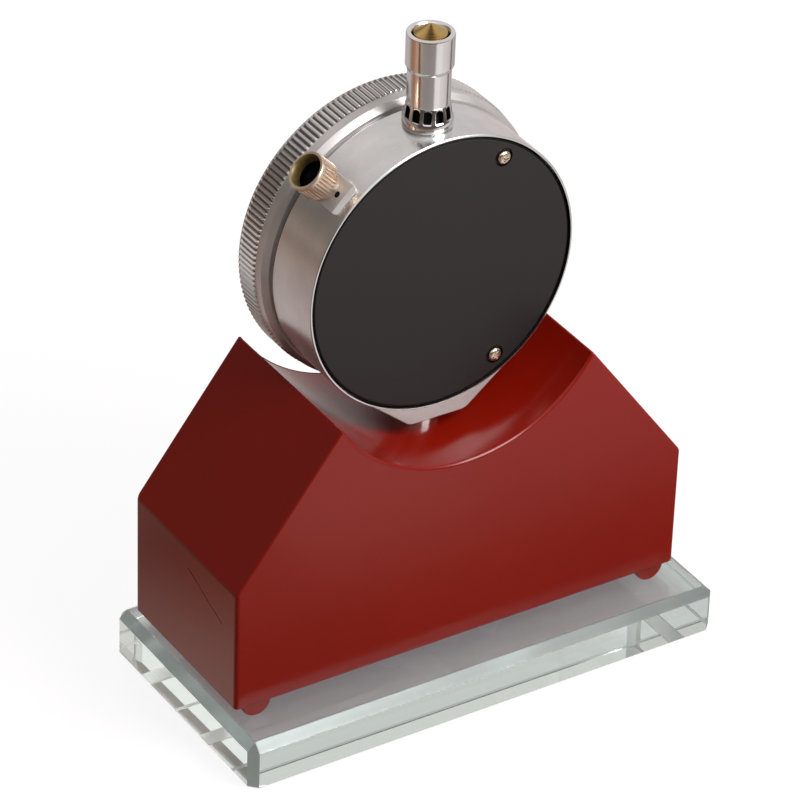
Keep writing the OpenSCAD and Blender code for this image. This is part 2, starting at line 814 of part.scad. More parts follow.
// Bush through the case's top, which also carries the nut and the cap
module upper_bush() {
    color("#b08d3c") meter() difference() {
        union() {
            rod(upper_bush_r, bush_flange_top - run, upper_bush_top);
            rod(upper_bush_r + bush_flange_w, bush_flange_top - bush_flange_t, bush_flange_top);
        }
        rod(spindle_r + slide, 0, cap_top);
    }
}

// Collar nut on the case's top: plain foot, then slots with round tops in a part that narrows to the cap
module collar_nut() {
    bore = upper_bush_r + press;
    foot_top = collar_low + collar_foot_h;
    slot_top = collar_top - collar_neck;
    color("#a9a4a2") meter() difference() {
        rotate_extrude() polygon([[bore, collar_low], [collar_foot_r - collar_edge, collar_low],
            [collar_foot_r, collar_low + collar_edge], [collar_foot_r, foot_top - collar_edge],
            [collar_r, foot_top], [cap_neck_r, collar_top], [bore, collar_top]]);
        for (k = [0:collar_slots - 1]) rotate([0, 0, collar_turn + k * 360 / collar_slots]) {
            translate([collar_slot_r, -collar_slot_w / 2, foot_top]) {
                cube([collar_r, collar_slot_w, slot_top - collar_slot_w / 2 - foot_top]);
            }
            translate([0, 0, slot_top - collar_slot_w / 2]) rotate([0, 90, 0]) {
                rod(collar_slot_w / 2, collar_slot_r, 2 * collar_r, $fn = 24);
            }
        }
    }
}

// Cap over the spindle's upper end, open at the top for the tip
module top_cap() {
    bore = tip_r + loose;
    lip = 0.3;
    color("#d6d0ce") meter() rotate_extrude() polygon([[upper_bush_r + press, collar_top],
        [cap_neck_r, collar_top], [cap_neck_r, head_low], [cap_head_r, head_low + head_chamfer],
        [cap_head_r, cap_top - lip], [cap_head_r - lip, cap_top], [bore + lip, cap_top],
        [bore, cap_top - lip], [bore, upper_bush_top + loose],
        [upper_bush_r + press, upper_bush_top + loose]]);
}

// Outline of the lug from above, with its rear corners rounded
module lug_plan(front, back) {
    translate([-lug_w / 2, front]) square([lug_w, back - lug_corner - front]);
    translate([-lug_w / 2 + lug_corner, front]) square([lug_w - 2 * lug_corner, back - front]);
    for (s = [-1, 1]) translate([s * (lug_w / 2 - lug_corner), back - lug_corner]) circle(lug_corner);
}

// Lug that the thumb screw presses on the bezel, its rear end bent down onto the case
module clamp_lug() {
    back = lug_back + clamp_forward;
    front = bezel_back + clamp_forward + loose;
    top = case_r + lug_t;
    low = case_r - lug_t;
    bend_drop = 0.75 * lug_t;
    color("#b9b4b1") clamp() difference() {
        intersection() {
            translate([0, 0, low]) linear_extrude(2 * lug_t) lug_plan(front, back);
            rotate([90, 0, 90]) linear_extrude(2 * lug_w, center = true) {
                polygon([[front, low], [back, low], [back, top - bend_drop], [back - lug_bend, top],
                    [front, top]]);
            }
        }
        translate([0, back, 0]) rotate([90, 0, 0]) rod(case_r + press, -cut, back - front + cut, $fn = 360);
        rod(thumb_shank_r + loose, 0, top + cut);
        translate([0, lug_hole_at, 0]) rod(lug_hole_r, 0, top + cut);
    }
}

// Brass thumb screw: neck, shoulder, fluted head with a plain rim, and a hollow in its top
module clamp_screw() {
    low = case_r + lug_t;
    base = low + thumb_neck_h;
    top = base + thumb_h;
    flute = 0.2;
    core = thumb_r - flute - loose;
    rise = thumb_r - core;
    inner = thumb_r - thumb_wall;
    edge = 0.15;
    shoulder = 0.5;
    hollow_edge = 0.9;
    color("#a3865a") clamp() difference() {
        union() {
            rod(thumb_shank_r, inner_r - thumb_wall, low + cut);
            rotate_extrude() polygon([[0, low], [thumb_neck_r, low], [thumb_neck_r, base],
                [core - shoulder, base], [core, base + thumb_rim], [core, top - thumb_rim],
                [thumb_r, top - thumb_rim + rise], [thumb_r, top - edge], [thumb_r - edge, top], [0, top]]);
            translate([0, 0, base + thumb_rim]) linear_extrude(thumb_h - 2 * thumb_rim + rise / 2) {
                knurled(thumb_flutes, thumb_r, flute);
            }
        }
        translate([0, 0, base + thumb_floor]) rotate_extrude() polygon([[0, 0], [inner - hollow_edge, 0],
            [inner, hollow_edge], [inner, thumb_h], [0, thumb_h]]);
    }
}

// Wire ring that keeps the bezel on its spigot
module bezel_snap_ring() {
    opening = 30;
    color("#b0b0b0") dial() rotate_extrude(angle = 360 - opening) translate([spigot_r + loose / 2, snap_at]) {
        circle(snap_wire, $fn = 24);
    }
}

// Fixed centre of the dial, with holes for the two arbors
module centre_dial() {
    color("#f0efe8") dial() difference() {
        rod(dial_split_r - loose, dial_front, dial_back);
        rod(arbor_r + arbor_hole, dial_front - cut, dial_back + cut);
        at(-arbor_x, arbor_z, 0) rod(arbor_r + arbor_hole, dial_front - cut, dial_back + cut);
    }
}

// Four pillars riveted into the case's floor
module movement_pillars() {
    color("#b08d3c") dial() for (a = pillar_angles) at(pillar_at * cos(a), pillar_at * sin(a), 0) {
        difference() {
            union() {
                rod(pillar_r, floor_back, bridge_front);
                rod(pillar_stud_r, floor_front, floor_back + cut);
            }
            rod(pillar_screw_r + press, bridge_back - pillar_screw_l - run, bridge_front + cut);
        }
    }
}

// Movement plate behind the gears, with the posts for both springs
module movement_plate() {
    hole_at = 11;
    hole_r = 3.5;
    color("#c2b280") dial() difference() {
        union() {
            difference() {
                rod(bridge_r, bridge_front, bridge_back);
                for (s = [-1, 1]) at(s * hole_at, 0, 0) rod(hole_r, bridge_front - cut, bridge_back + cut);
            }
            at(spring_post[0], spring_post[1], 0) {
                rod(spring_post_r, bridge_back - cut / 2, rack_coil_r + rack_wire);
            }
            at(arbor_x + hair_outer + hair_post_r + run, -arbor_z, 0) {
                rod(hair_post_r, hair_low - loose, bridge_front + cut / 2);
            }
        }
        rod(arbor_r + run, bridge_front - cut, bridge_back + cut);
        at(-arbor_x, arbor_z, 0) rod(arbor_r + run, bridge_front - cut, bridge_back + cut);
        at(arbor_x, -arbor_z, 0) rod(arbor_r + run, bridge_front - cut, bridge_back + cut);
        for (a = pillar_angles) at(pillar_at * cos(a), pillar_at * sin(a), 0) {
            rod(pillar_screw_r + loose, bridge_front - cut, bridge_back + cut);
        }
    }
}

// Four screws that hold the movement plate to its pillars
module movement_screws() {
    color("#8f8f8f") dial() for (a = pillar_angles) at(pillar_at * cos(a), pillar_at * sin(a), bridge_back) {
        slotted_screw(pillar_screw_r, pillar_screw_l, 2 * pillar_screw_r, screw_head_h);
    }
}

// Cock that carries the rack pinion's rear pivot
module arbor_cock() {
    reach = 6.5;
    foot = 4;
    arm_w = 3;
    color("#c2b280") dial() at(-arbor_x, arbor_z, 0) difference() {
        union() {
            translate([-reach - foot, -foot / 2, bridge_back]) cube([foot, foot, cock_top - bridge_back]);
            translate([-reach, -arm_w / 2, cock_low]) cube([reach, arm_w, cock_top - cock_low]);
            rod(arm_w / 2, cock_low, cock_top);
        }
        rod(arbor_r + run, cock_low - cut, cock_top + cut);
    }
}

// Rail with a slot for the spindle's guide pin
module guide_rail() {
    low = guide_pin_z - bar_travel - guide_pin_r;
    high = guide_pin_z + guide_pin_r;
    rail_gap = 0.95;
    rail_at = spindle_r + rail_gap;
    rail_w = 3;
    rail_deep = 5.4;
    slot_spare = 1;
    color("#c2b280") dial() difference() {
        at(rail_at, high + rail_w, bridge_back) cube([rail_w, high - low + 2 * rail_w, rail_deep]);
        at(rail_at - cut, high + slot_spare, -guide_pin_r - run) {
            cube([rail_w + 2 * cut, high - low + 2 * slot_spare, 2 * (guide_pin_r + run)]);
        }
    }
}

// Light spring that draws the spindle down
module rack_spring() {
    end_gap = rack_wire + 2 * loose;
    color("#a8a8a8") meter() translate([spring_post[0], 0, dial_z]) {
        coil(rack_coil_r, spring_post[1] + spring_post_r + end_gap, guide_pin_z - guide_pin_r - end_gap,
            rack_turns, rack_wire);
    }
}

// Flat spiral spring that takes up the play of the gears, ending at its post
module hairspring() {
    step = (hair_outer - hair_inner) / hair_turns;
    color("#7a8ea8") dial() at(arbor_x, -arbor_z, hair_low) linear_extrude(hair_h) polygon(concat(
        [for (a = [0:15:360 * hair_turns]) (hair_inner + step * a / 360) * [cos(a), sin(a)]],
        [for (a = [360 * hair_turns:-15:0]) (hair_inner - hair_t + step * a / 360) * [cos(a), sin(a)]]));
}

// Bezel ring with a knurled band, turning on the case's spigot
module bezel_ring() {
    front = -bezel_front;
    root = bezel_r - knurl_depth - loose;
    rear_chamfer = 1.1;
    rear_r = root - 0.75;
    color("#b4aeac") dial() difference() {
        union() {
            rotate_extrude() polygon([[0, front], [root - bezel_edge, front], [root, front + bezel_edge],
                [root, bezel_back - rear_chamfer], [rear_r, bezel_back], [0, bezel_back]]);
            translate([0, 0, front + bezel_edge]) linear_extrude(knurl_l - bezel_edge) {
                knurled(knurl_n, bezel_r, knurl_depth);
            }
        }
        rod(window_r, front - cut, 0);
        rod(crystal_r, crystal_front, bezel_seat);
        rod(bezel_bore, crystal_front, 0);
        tube(bezel_bore + snap_room, bezel_bore - cut, snap_at - snap_room, snap_at + snap_room);
    }
}

// Clear crystal behind the bezel's lip
module crystal() {
    color("#e8f2f4", 0.35) dial() rod(crystal_r - loose, crystal_front, crystal_back);
}

// Ring that presses the crystal and the scale ring apart
module crystal_spacer() {
    color("#2c2c2c") dial() {
        tube(crystal_r - loose, crystal_r - spigot_wall, crystal_back, bezel_seat - dial_t);
    }
}

// Outer ring of the dial, turning with the bezel
module scale_ring() {
    color("#f4f3ee") dial() tube(crystal_r - loose, dial_split_r + loose, bezel_seat - dial_t, bezel_seat);
}

// Pinion whose leaves mesh with the large gears or the rack
module leaves(n, r, w) {
    toothed(n, r - 1.1 * gear_module, r + 0.8 * gear_module, 1.3 * gear_module, w);
}

// Arbor of the main pointer, with its pinion
module centre_pinion() {
    spare = 2 * gear_module;
    color("#b8b8b8") dial() {
        rod(arbor_r, pointer_front + hand_skin + run, bridge_back);
        translate([0, 0, wheel_at - spare]) linear_extrude(takeup_at - wheel_at + gear_t + 2 * spare) {
            rotate([0, 0, train_angle + 180 / pinion_teeth]) leaves(pinion_teeth, leaf_r, gear_module / 2);
        }
    }
}

// Main pointer: tapered needle with a round tail
module main_pointer() {
    boss_r = 1.5;
    w = 1.4;
    tip_w = 0.24;
    tail = 6;
    tail_w = 0.9;
    disc_at = 7;
    disc_r = 1.6;
    color("#202020") dial() difference() {
        union() {
            rod(boss_r, pointer_front, pointer_back);
            translate([0, 0, (pointer_front + pointer_back) / 2]) linear_extrude(gear_t / 2) {
                hand(pointer_l, w, tip_w, tail, tail_w);
                translate([0, disc_at]) circle(disc_r);
            }
        }
        rod(arbor_r + press, pointer_front + hand_skin, pointer_back + cut);
    }
}

// Toothed outline of the two large gears
module gear_wheel() {
    m = gear_module;
    toothed(gear_teeth, wheel_r - 1.2 * m, wheel_r + 0.8 * m, 1.4 * m, m / 2);
}

// Large gear on the rack pinion's arbor
module intermediate_gear() {
    color("#c9a94e") dial() at(-arbor_x, arbor_z, wheel_at) linear_extrude(gear_t) difference() {
        rotate([0, 0, train_angle + 180]) gear_wheel();
        circle(arbor_r + press);
        for (a = [0:90:270]) rotate([0, 0, a]) translate([gear_hole_at, 0]) circle(gear_hole_r);
    }
}

// Arbor with the rack pinion
module rack_pinion() {
    pinion_l = 3.2;
    color("#b8b8b8") dial() at(-arbor_x, arbor_z, 0) {
        rod(arbor_r, counter_front + hand_skin + run, cock_top);
        translate([0, 0, -pinion_l / 2]) linear_extrude(pinion_l) {
            leaves(rack_teeth, pitch_r, 0.6 * gear_module);
        }
    }
}

// Small hand that counts the pointer's turns
module counter_hand() {
    boss_r = 0.95;
    w = 0.8;
    tip_w = 0.16;
    tail = 1.8;
    tail_w = 0.5;
    color("#202020") dial() at(-arbor_x, arbor_z, 0) difference() {
        union() {
            rod(boss_r, counter_front, counter_back);
            translate([0, 0, (counter_front + counter_back) / 2 - loose]) linear_extrude(2 * loose) {
                hand(counter_l, w, tip_w, tail, tail_w);
            }
        }
        rod(arbor_r + press, counter_front + hand_skin, counter_back + cut);
    }
}

// Second large gear, which the hairspring turns back
module takeup_gear() {
    hub_r = 1.1;
    color("#c9a94e") dial() at(arbor_x, -arbor_z, 0) difference() {
        union() {
            translate([0, 0, takeup_at]) linear_extrude(gear_t) rotate([0, 0, train_angle]) gear_wheel();
            rod(arbor_r, floor_front + loose, bridge_back);
            rod(hub_r, takeup_at, hair_low + hair_h + loose);
        }
        for (a = [0:90:270]) rotate([0, 0, a]) translate([gear_hole_at, 0, 0]) {
            rod(gear_hole_r, takeup_at - cut, takeup_at + 2 * gear_t);
        }
    }
}

calibration_plate();
measuring_bar();
plunger();
guide_pins();
rack_spindle();
spindle_guide_pin();
brass_tip();
base_casting();
bottom_plate();
bottom_plate_screws();
guide_bushes();
return_spring();
stem_set_screw();
stem();
stem_flange();
lower_bush();
dial_case();
back_cover();
back_cover_screws();
upper_bush();
collar_nut();
top_cap();
clamp_lug();
bezel_snap_ring();
centre_dial();
movement_pillars();
movement_plate();
movement_screws();
arbor_cock();
guide_rail();
rack_spring();
hairspring();
bezel_ring();
crystal();
crystal_spacer();
scale_ring();
clamp_screw();
centre_pinion();
main_pointer();
intermediate_gear();
rack_pinion();
counter_hand();
takeup_gear();
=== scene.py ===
# Mesh tension meter: a dial gauge in a red cast base, standing on its glass plate.
# Metres, +Z up, +Y is the back of the dial. Sizes in the dictionaries are millimetres and degrees.
import json
import math

import bpy
from mathutils import Matrix, Vector


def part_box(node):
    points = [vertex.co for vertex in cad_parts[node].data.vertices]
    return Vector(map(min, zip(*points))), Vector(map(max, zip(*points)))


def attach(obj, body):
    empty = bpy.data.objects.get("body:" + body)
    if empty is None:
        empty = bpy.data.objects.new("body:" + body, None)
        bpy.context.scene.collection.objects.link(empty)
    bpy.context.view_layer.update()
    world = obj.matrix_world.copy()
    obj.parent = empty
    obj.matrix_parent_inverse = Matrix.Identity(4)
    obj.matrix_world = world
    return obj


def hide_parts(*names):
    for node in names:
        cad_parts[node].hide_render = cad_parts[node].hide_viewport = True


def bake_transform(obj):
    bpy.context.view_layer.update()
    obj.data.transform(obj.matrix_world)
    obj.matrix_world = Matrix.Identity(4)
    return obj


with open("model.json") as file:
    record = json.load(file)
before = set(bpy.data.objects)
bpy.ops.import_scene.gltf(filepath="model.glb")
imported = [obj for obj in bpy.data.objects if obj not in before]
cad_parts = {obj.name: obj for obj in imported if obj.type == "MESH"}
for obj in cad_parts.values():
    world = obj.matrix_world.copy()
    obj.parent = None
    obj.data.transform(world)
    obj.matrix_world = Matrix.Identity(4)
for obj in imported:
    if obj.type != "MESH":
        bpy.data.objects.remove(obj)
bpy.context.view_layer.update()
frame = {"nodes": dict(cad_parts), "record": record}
nodes = frame["nodes"]
mm = 0.001
turn = 2 * math.pi
near = 0.02  # millimetres within which points lie on one line
weld = 0.002 * mm  # corners this close become one
perFlute = 4  # columns of faces to each flute of a knurl
layDown = Matrix.Rotation(turn / 4, 4, "X")  # a piece's Z to -Y
print("frame loaded:", len(nodes), "nodes")


def shift(x, y, z):
    return Matrix.Translation((x * mm, y * mm, z * mm))


def span(node):
    low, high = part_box(node)
    return low / mm, high / mm


coverLow, coverHigh = span("back_cover")
dialX, dialZ = (coverLow.x + coverHigh.x) / 2, (coverLow.z + coverHigh.z) / 2
# local +Z of a dial piece is the back of the dial, and its -Y is up
dialPlace = shift(dialX, 0, dialZ) @ Matrix.Rotation(-turn / 4, 4, "X")
uprightPlace = shift(dialX, 0, 0)


# small helpers for modelling
def clear():
    if bpy.context.mode != "OBJECT":
        bpy.ops.object.mode_set(mode="OBJECT")
    bpy.ops.object.select_all(action="DESELECT")


def only(piece):
    clear()
    piece.select_set(True)
    bpy.context.view_layer.objects.active = piece


def edit(piece):
    only(piece)
    bpy.ops.object.mode_set(mode="EDIT")


def done():
    bpy.ops.object.mode_set(mode="OBJECT")


def ends(piece, edge):
    # the two ends of an edge in millimetres
    return [piece.data.vertices[index].co / mm for index in edge.vertices]


def named(name):
    piece = bpy.context.object
    piece.name = piece.data.name = name
    return piece


def choose(piece, kind, test):
    # kind is VERT, EDGE or FACE; edit mode is on before and after
    bpy.ops.mesh.select_mode(type=kind)
    bpy.ops.mesh.select_all(action="DESELECT")
    done()
    data = piece.data
    items = {"VERT": data.vertices, "EDGE": data.edges, "FACE": data.polygons}[kind]
    for item in items:
        item.select = bool(test(item))
    bpy.ops.object.mode_set(mode="EDIT")


def lathe(name, points, steps=128):
    # one vertex is extruded along (radius, height) and the line is spun about Z
    clear()
    (r, z), rest = points[0], points[1:]
    bpy.ops.mesh.primitive_plane_add(size=0.1 * mm, location=(r * mm, 0, z * mm))
    piece = named(name)
    bpy.ops.object.transform_apply(location=True)
    edit(piece)
    bpy.ops.mesh.select_mode(type="VERT")
    bpy.ops.mesh.merge(type="CENTER")
    for nextR, nextZ in rest:
        step = ((nextR - r) * mm, 0, (nextZ - z) * mm)
        bpy.ops.mesh.extrude_region_move(TRANSFORM_OT_translate={"value": step})
        r, z = nextR, nextZ
    bpy.ops.mesh.select_all(action="SELECT")
    bpy.ops.mesh.spin(steps=steps, angle=turn, center=(0, 0, 0), axis=(0, 0, 1))
    bpy.ops.mesh.select_all(action="SELECT")
    bpy.ops.mesh.remove_doubles(threshold=weld)
    bpy.ops.mesh.normals_make_consistent(inside=False)
    done()
    return piece


def block(name, low, high):
    clear()
    low, high = Vector(low), Vector(high)
    bpy.ops.mesh.primitive_cube_add(size=1, location=(low + high) / 2 * mm, scale=(high - low) * mm)
    piece = named(name)
    bpy.ops.object.transform_apply(location=True, scale=True)
    return piece


def columnOf(x, y, flutes):
    # which column of its flute a corner is in
    return round(math.atan2(y, x) / turn * perFlute * flutes) % perFlute


def rod(name, radius, low, high, sides=96):
    clear()
    bpy.ops.mesh.primitive_cylinder_add(vertices=sides, radius=radius * mm, depth=(high - low) * mm,
                                        location=(0, 0, (low + high) / 2 * mm))
    piece = named(name)
    bpy.ops.object.transform_apply(location=True)
    return piece


def bevel(width, segments, **more):
    # along the chosen edges, in edit mode
    bpy.ops.mesh.bevel(offset=width * mm, segments=segments, affect="EDGES", **more)


def cutAt(at, normal, trim=False):
    # a plane through the piece, in edit mode; what is beyond it can be trimmed
    bpy.ops.mesh.select_all(action="SELECT")
    bpy.ops.mesh.bisect(plane_co=[c * mm for c in at], plane_no=normal, clear_outer=trim, use_fill=trim)


def moved(piece, place):
    # puts the place in the mesh
    only(piece)
    piece.matrix_world = place @ piece.matrix_world
    bpy.ops.object.transform_apply(location=True, rotation=True, scale=True)
    return piece


def around(piece, count, axis="Z", start=0.0):
    # copies of one piece round an axis, joined
    copies = []
    for k in range(count):
        copy = piece.copy()
        copy.data = piece.data.copy()
        bpy.context.scene.collection.objects.link(copy)
        moved(copy, Matrix.Rotation(start + turn * k / count, 4, axis))
        copies.append(copy)
    bpy.data.objects.remove(piece)
    return joined(copies)


def joined(pieces):
    clear()
    for piece in pieces:
        piece.select_set(True)
    bpy.context.view_layer.objects.active = pieces[0]
    bpy.ops.object.join()
    return bpy.context.object


def combine(piece, tool, operation="DIFFERENCE"):
    only(piece)
    modifier = piece.modifiers.new("cut", "BOOLEAN")
    modifier.object = tool
    modifier.operation = operation
    modifier.solver = "EXACT"
    bpy.ops.object.modifier_apply(modifier=modifier.name)
    bpy.data.objects.remove(tool)
    return piece


def soften(piece, width, segments=3, angle=30):
    only(piece)
    modifier = piece.modifiers.new("soften", "BEVEL")
    modifier.width = width * mm
    modifier.segments = segments
    modifier.limit_method = "ANGLE"
    modifier.angle_limit = math.radians(angle)
    modifier.use_clamp_overlap = False
    bpy.ops.object.modifier_apply(modifier=modifier.name)
    return piece


def finished(piece, body, replaced, slot, angle=35, finish=None):
    # smooth shading, material, body, and the CAD nodes that the piece stands for
    only(piece)
    bpy.ops.object.shade_smooth_by_angle(angle=math.radians(angle))
    modifier = piece.modifiers.new("evenNormals", "WEIGHTED_NORMAL")
    modifier.keep_sharp = True
    bpy.ops.object.modifier_apply(modifier=modifier.name)
    piece.data.materials.clear()
    piece.data.materials.append(finishes[finish or slot])
    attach(piece, body)
    if replaced:
        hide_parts(*replaced)
    print(piece.name, len(piece.data.polygons), "faces")


def refinished(piece, finish, test):
    # a second finish on the faces that the test picks
    piece.data.materials.append(finishes[finish])
    for face in piece.data.polygons:
        if test(face):
            face.material_index = len(piece.data.materials) - 1


# helpers for materials
def colour(code):
    # sRGB hex to linear
    parts = [int(code[i:i + 2], 16) / 255 for i in (1, 3, 5)]
    return [c / 12.92 if c <= 0.04045 else ((c + 0.055) / 1.055) ** 2.4 for c in parts] + [1]


def addNode(tree, kind, inputs=None, stops=(), **settings):
    # inputs are values, sockets or nodes; stops are the places and tones of a colour ramp
    node = tree.nodes.new("ShaderNode" + kind)
    for name, value in settings.items():
        setattr(node, name, value)
    for index, (at, code) in enumerate(stops):
        elements = node.color_ramp.elements
        stop = elements[index] if index < 2 else elements.new(at)
        stop.position, stop.color = at, colour(code)
    for name, value in (inputs or {}).items():
        if isinstance(value, bpy.types.Node):
            value = value.outputs[0]
        if isinstance(value, bpy.types.NodeSocket):
            tree.links.new(value, node.inputs[name])
        else:
            node.inputs[name].default_value = value
    return node


def newMaterial(name):
    material = bpy.data.materials.new(name)
    material.use_nodes = True
    material.node_tree.nodes.clear()
    return material, material.node_tree


# camera
view = {"azimuth": 146.904, "elevation": 33.056, "roll": -2.05, "lens": 214.54,
        "eye": (419.634, 635.032, 551.29), "farEnd": 20}


def makeCamera():
    a, e, r = (math.radians(view[k]) for k in ("azimuth", "elevation", "roll"))
    back = Vector((math.sin(a) * math.cos(e), -math.cos(a) * math.cos(e), math.sin(e)))
    right = Vector((math.cos(a), math.sin(a), 0))
    up = back.cross(right)
    right, up = math.cos(r) * right - math.sin(r) * up, math.sin(r) * right + math.cos(r) * up
    data = bpy.data.cameras.new("camera")
    data.lens = view["lens"]
    data.clip_end = view["farEnd"]
    camera = bpy.data.objects.new("camera", data)
    bpy.context.scene.collection.objects.link(camera)
    facing = Matrix((right, up, back)).transposed().to_4x4()
    camera.matrix_world = Matrix.Translation(Vector(view["eye"]) * mm) @ facing
    bpy.context.scene.camera = camera


makeCamera()
bpy.context.scene.view_settings.view_transform = "Standard"

# stage: strengths of the world, and where its tones change along X and Y
light = {"world": 0.36, "worldThrough": 0.05, "mirror": 1.0, "paleFrom": 0.1, "paleTo": -0.35,
         "frontFrom": 0.1, "frontTo": 0.4}
# what metal mirrors of the room, by the Z of its direction: a dim warm side, a pale side and the front
roomTones = [(0.48, "#b5a398"), (0.54, "#8b7d73"), (0.62, "#746a62"), (0.66, "#6f665f"), (0.735, "#8f8781"),
             (0.80, "#d9d3d0"), (0.86, "#f0eae8"), (0.96, "#d8cfc8"), (0.99, "#6d6256"), (1.0, "#4a4034")]
paleTones = [(0.45, "#d3cecd"), (0.60, "#dcd7d6"), (0.80, "#dedad8"), (0.96, "#d8cfc8"), (0.99, "#6d6256"),
             (1.0, "#4a4034")]
frontTones = [(0.5, "#5a504a"), (0.62, "#4a413b"), (0.70, "#8f8781"), (0.77, "#ffffff"), (0.90, "#ffffff"),
              (0.96, "#d8cfc8"), (0.99, "#6d6256"), (1.0, "#4a4034")]
# what metal mirrors of the floor, by the distance from the object in metres
floorTones = [(0.0, "#fff0e2"), (0.06, "#fff0e2"), (0.1, "#f6eeee"), (0.2, "#f4f0ef"), (0.6, "#dcccc2"),
              (1.0, "#b5a398")]
# and by Y: a shaded strip before the long face
stripTones = [(0.30, "#ffffff"), (0.38, "#6c6561"), (0.50, "#9a9491"), (0.64, "#ffffff")]
# and by the direction, in turns from -Y by way of -X: painted reflections of paper and cards, and a painted
# pool of lamp light
sideTones = [(0.0, "#c6bfbe"), (0.05, "#efe7e6"), (0.12, "#efe7e6"), (0.16, "#b4adab"), (0.24, "#c9c5c5"),
             (0.38, "#eeeaea"), (0.42, "#f2eeee"), (0.435, "#ffffff"), (0.50, "#ffffff"), (0.525, "#a8a29f"),
             (0.60, "#9b9693"), (0.68, "#a39b96"), (0.715, "#d6b9a7"), (0.775, "#c89f86"), (0.815, "#b07c5e"),
             (0.85, "#9a8a80"), (0.88, "#c0b4ae"), (0.915, "#cfc8c6"), (1.0, "#c6bfbe")]


def makeWorld():
    world = bpy.data.worlds.new("studio")
    bpy.context.scene.world = world
    world.use_nodes = True
    tree = world.node_tree
    tree.nodes.clear()
    path = addNode(tree, "LightPath")
    through = addNode(tree, "Math", {0: path.outputs["Is Transmission Ray"], 1: light["worldThrough"]},
                      operation="MULTIPLY")
    seen = addNode(tree, "Math", {0: path.outputs["Is Camera Ray"], 1: through}, operation="MAXIMUM")
    where = addNode(tree, "TexCoord")
    split = addNode(tree, "SeparateXYZ", {0: where.outputs["Generated"]})
    height = addNode(tree, "MapRange", {0: split.outputs["Z"], 1: -1.0, 2: 1.0})
    side = addNode(tree, "MapRange", {0: split.outputs["X"], 1: light["paleFrom"],
                                      2: light["paleTo"]})
    room, pale, far = (addNode(tree, "ValToRGB", {0: height}, stops)
                       for stops in (roomTones, paleTones, frontTones))
    tones = addNode(tree, "Mix", {0: side, 6: room, 7: pale}, data_type="RGBA")
    front = addNode(tree, "MapRange", {0: split.outputs["Y"], 1: light["frontFrom"],
                                       2: light["frontTo"]})
    tones = addNode(tree, "Mix", {0: front, 6: tones.outputs[2], 7: far}, data_type="RGBA")
    soft = addNode(tree, "Background", {"Color": (1, 1, 1, 1), "Strength": light["world"]})
    mirror = addNode(tree, "Background", {"Color": tones.outputs[2], "Strength": light["mirror"]})
    white = addNode(tree, "Background", {"Color": (1, 1, 1, 1), "Strength": 1.0})
    lit = addNode(tree, "MixShader", {0: path.outputs["Is Glossy Ray"], 1: soft, 2: mirror})
    both = addNode(tree, "MixShader", {0: seen, 1: lit, 2: white})
    addNode(tree, "OutputWorld", {"Surface": both})


# the paper: its tones, what shows of it through glass, and where its tones change, in metres
paper = {"size": 6, "under": 0.02 * mm, "tone": "#9d9698", "white": 1.75, "share": 0.5, "throughGlass": 0.13,
         "besideGlass": 0.32, "shadedTint": "#f4dde6", "plateX": (0.047, 0.0528), "plateY": (0.021, 0.026),
         "far": "#f0eae8", "farX": (-0.15, -0.35), "stripY": (-0.05, 0.15), "sides": (0.05, 0.09)}


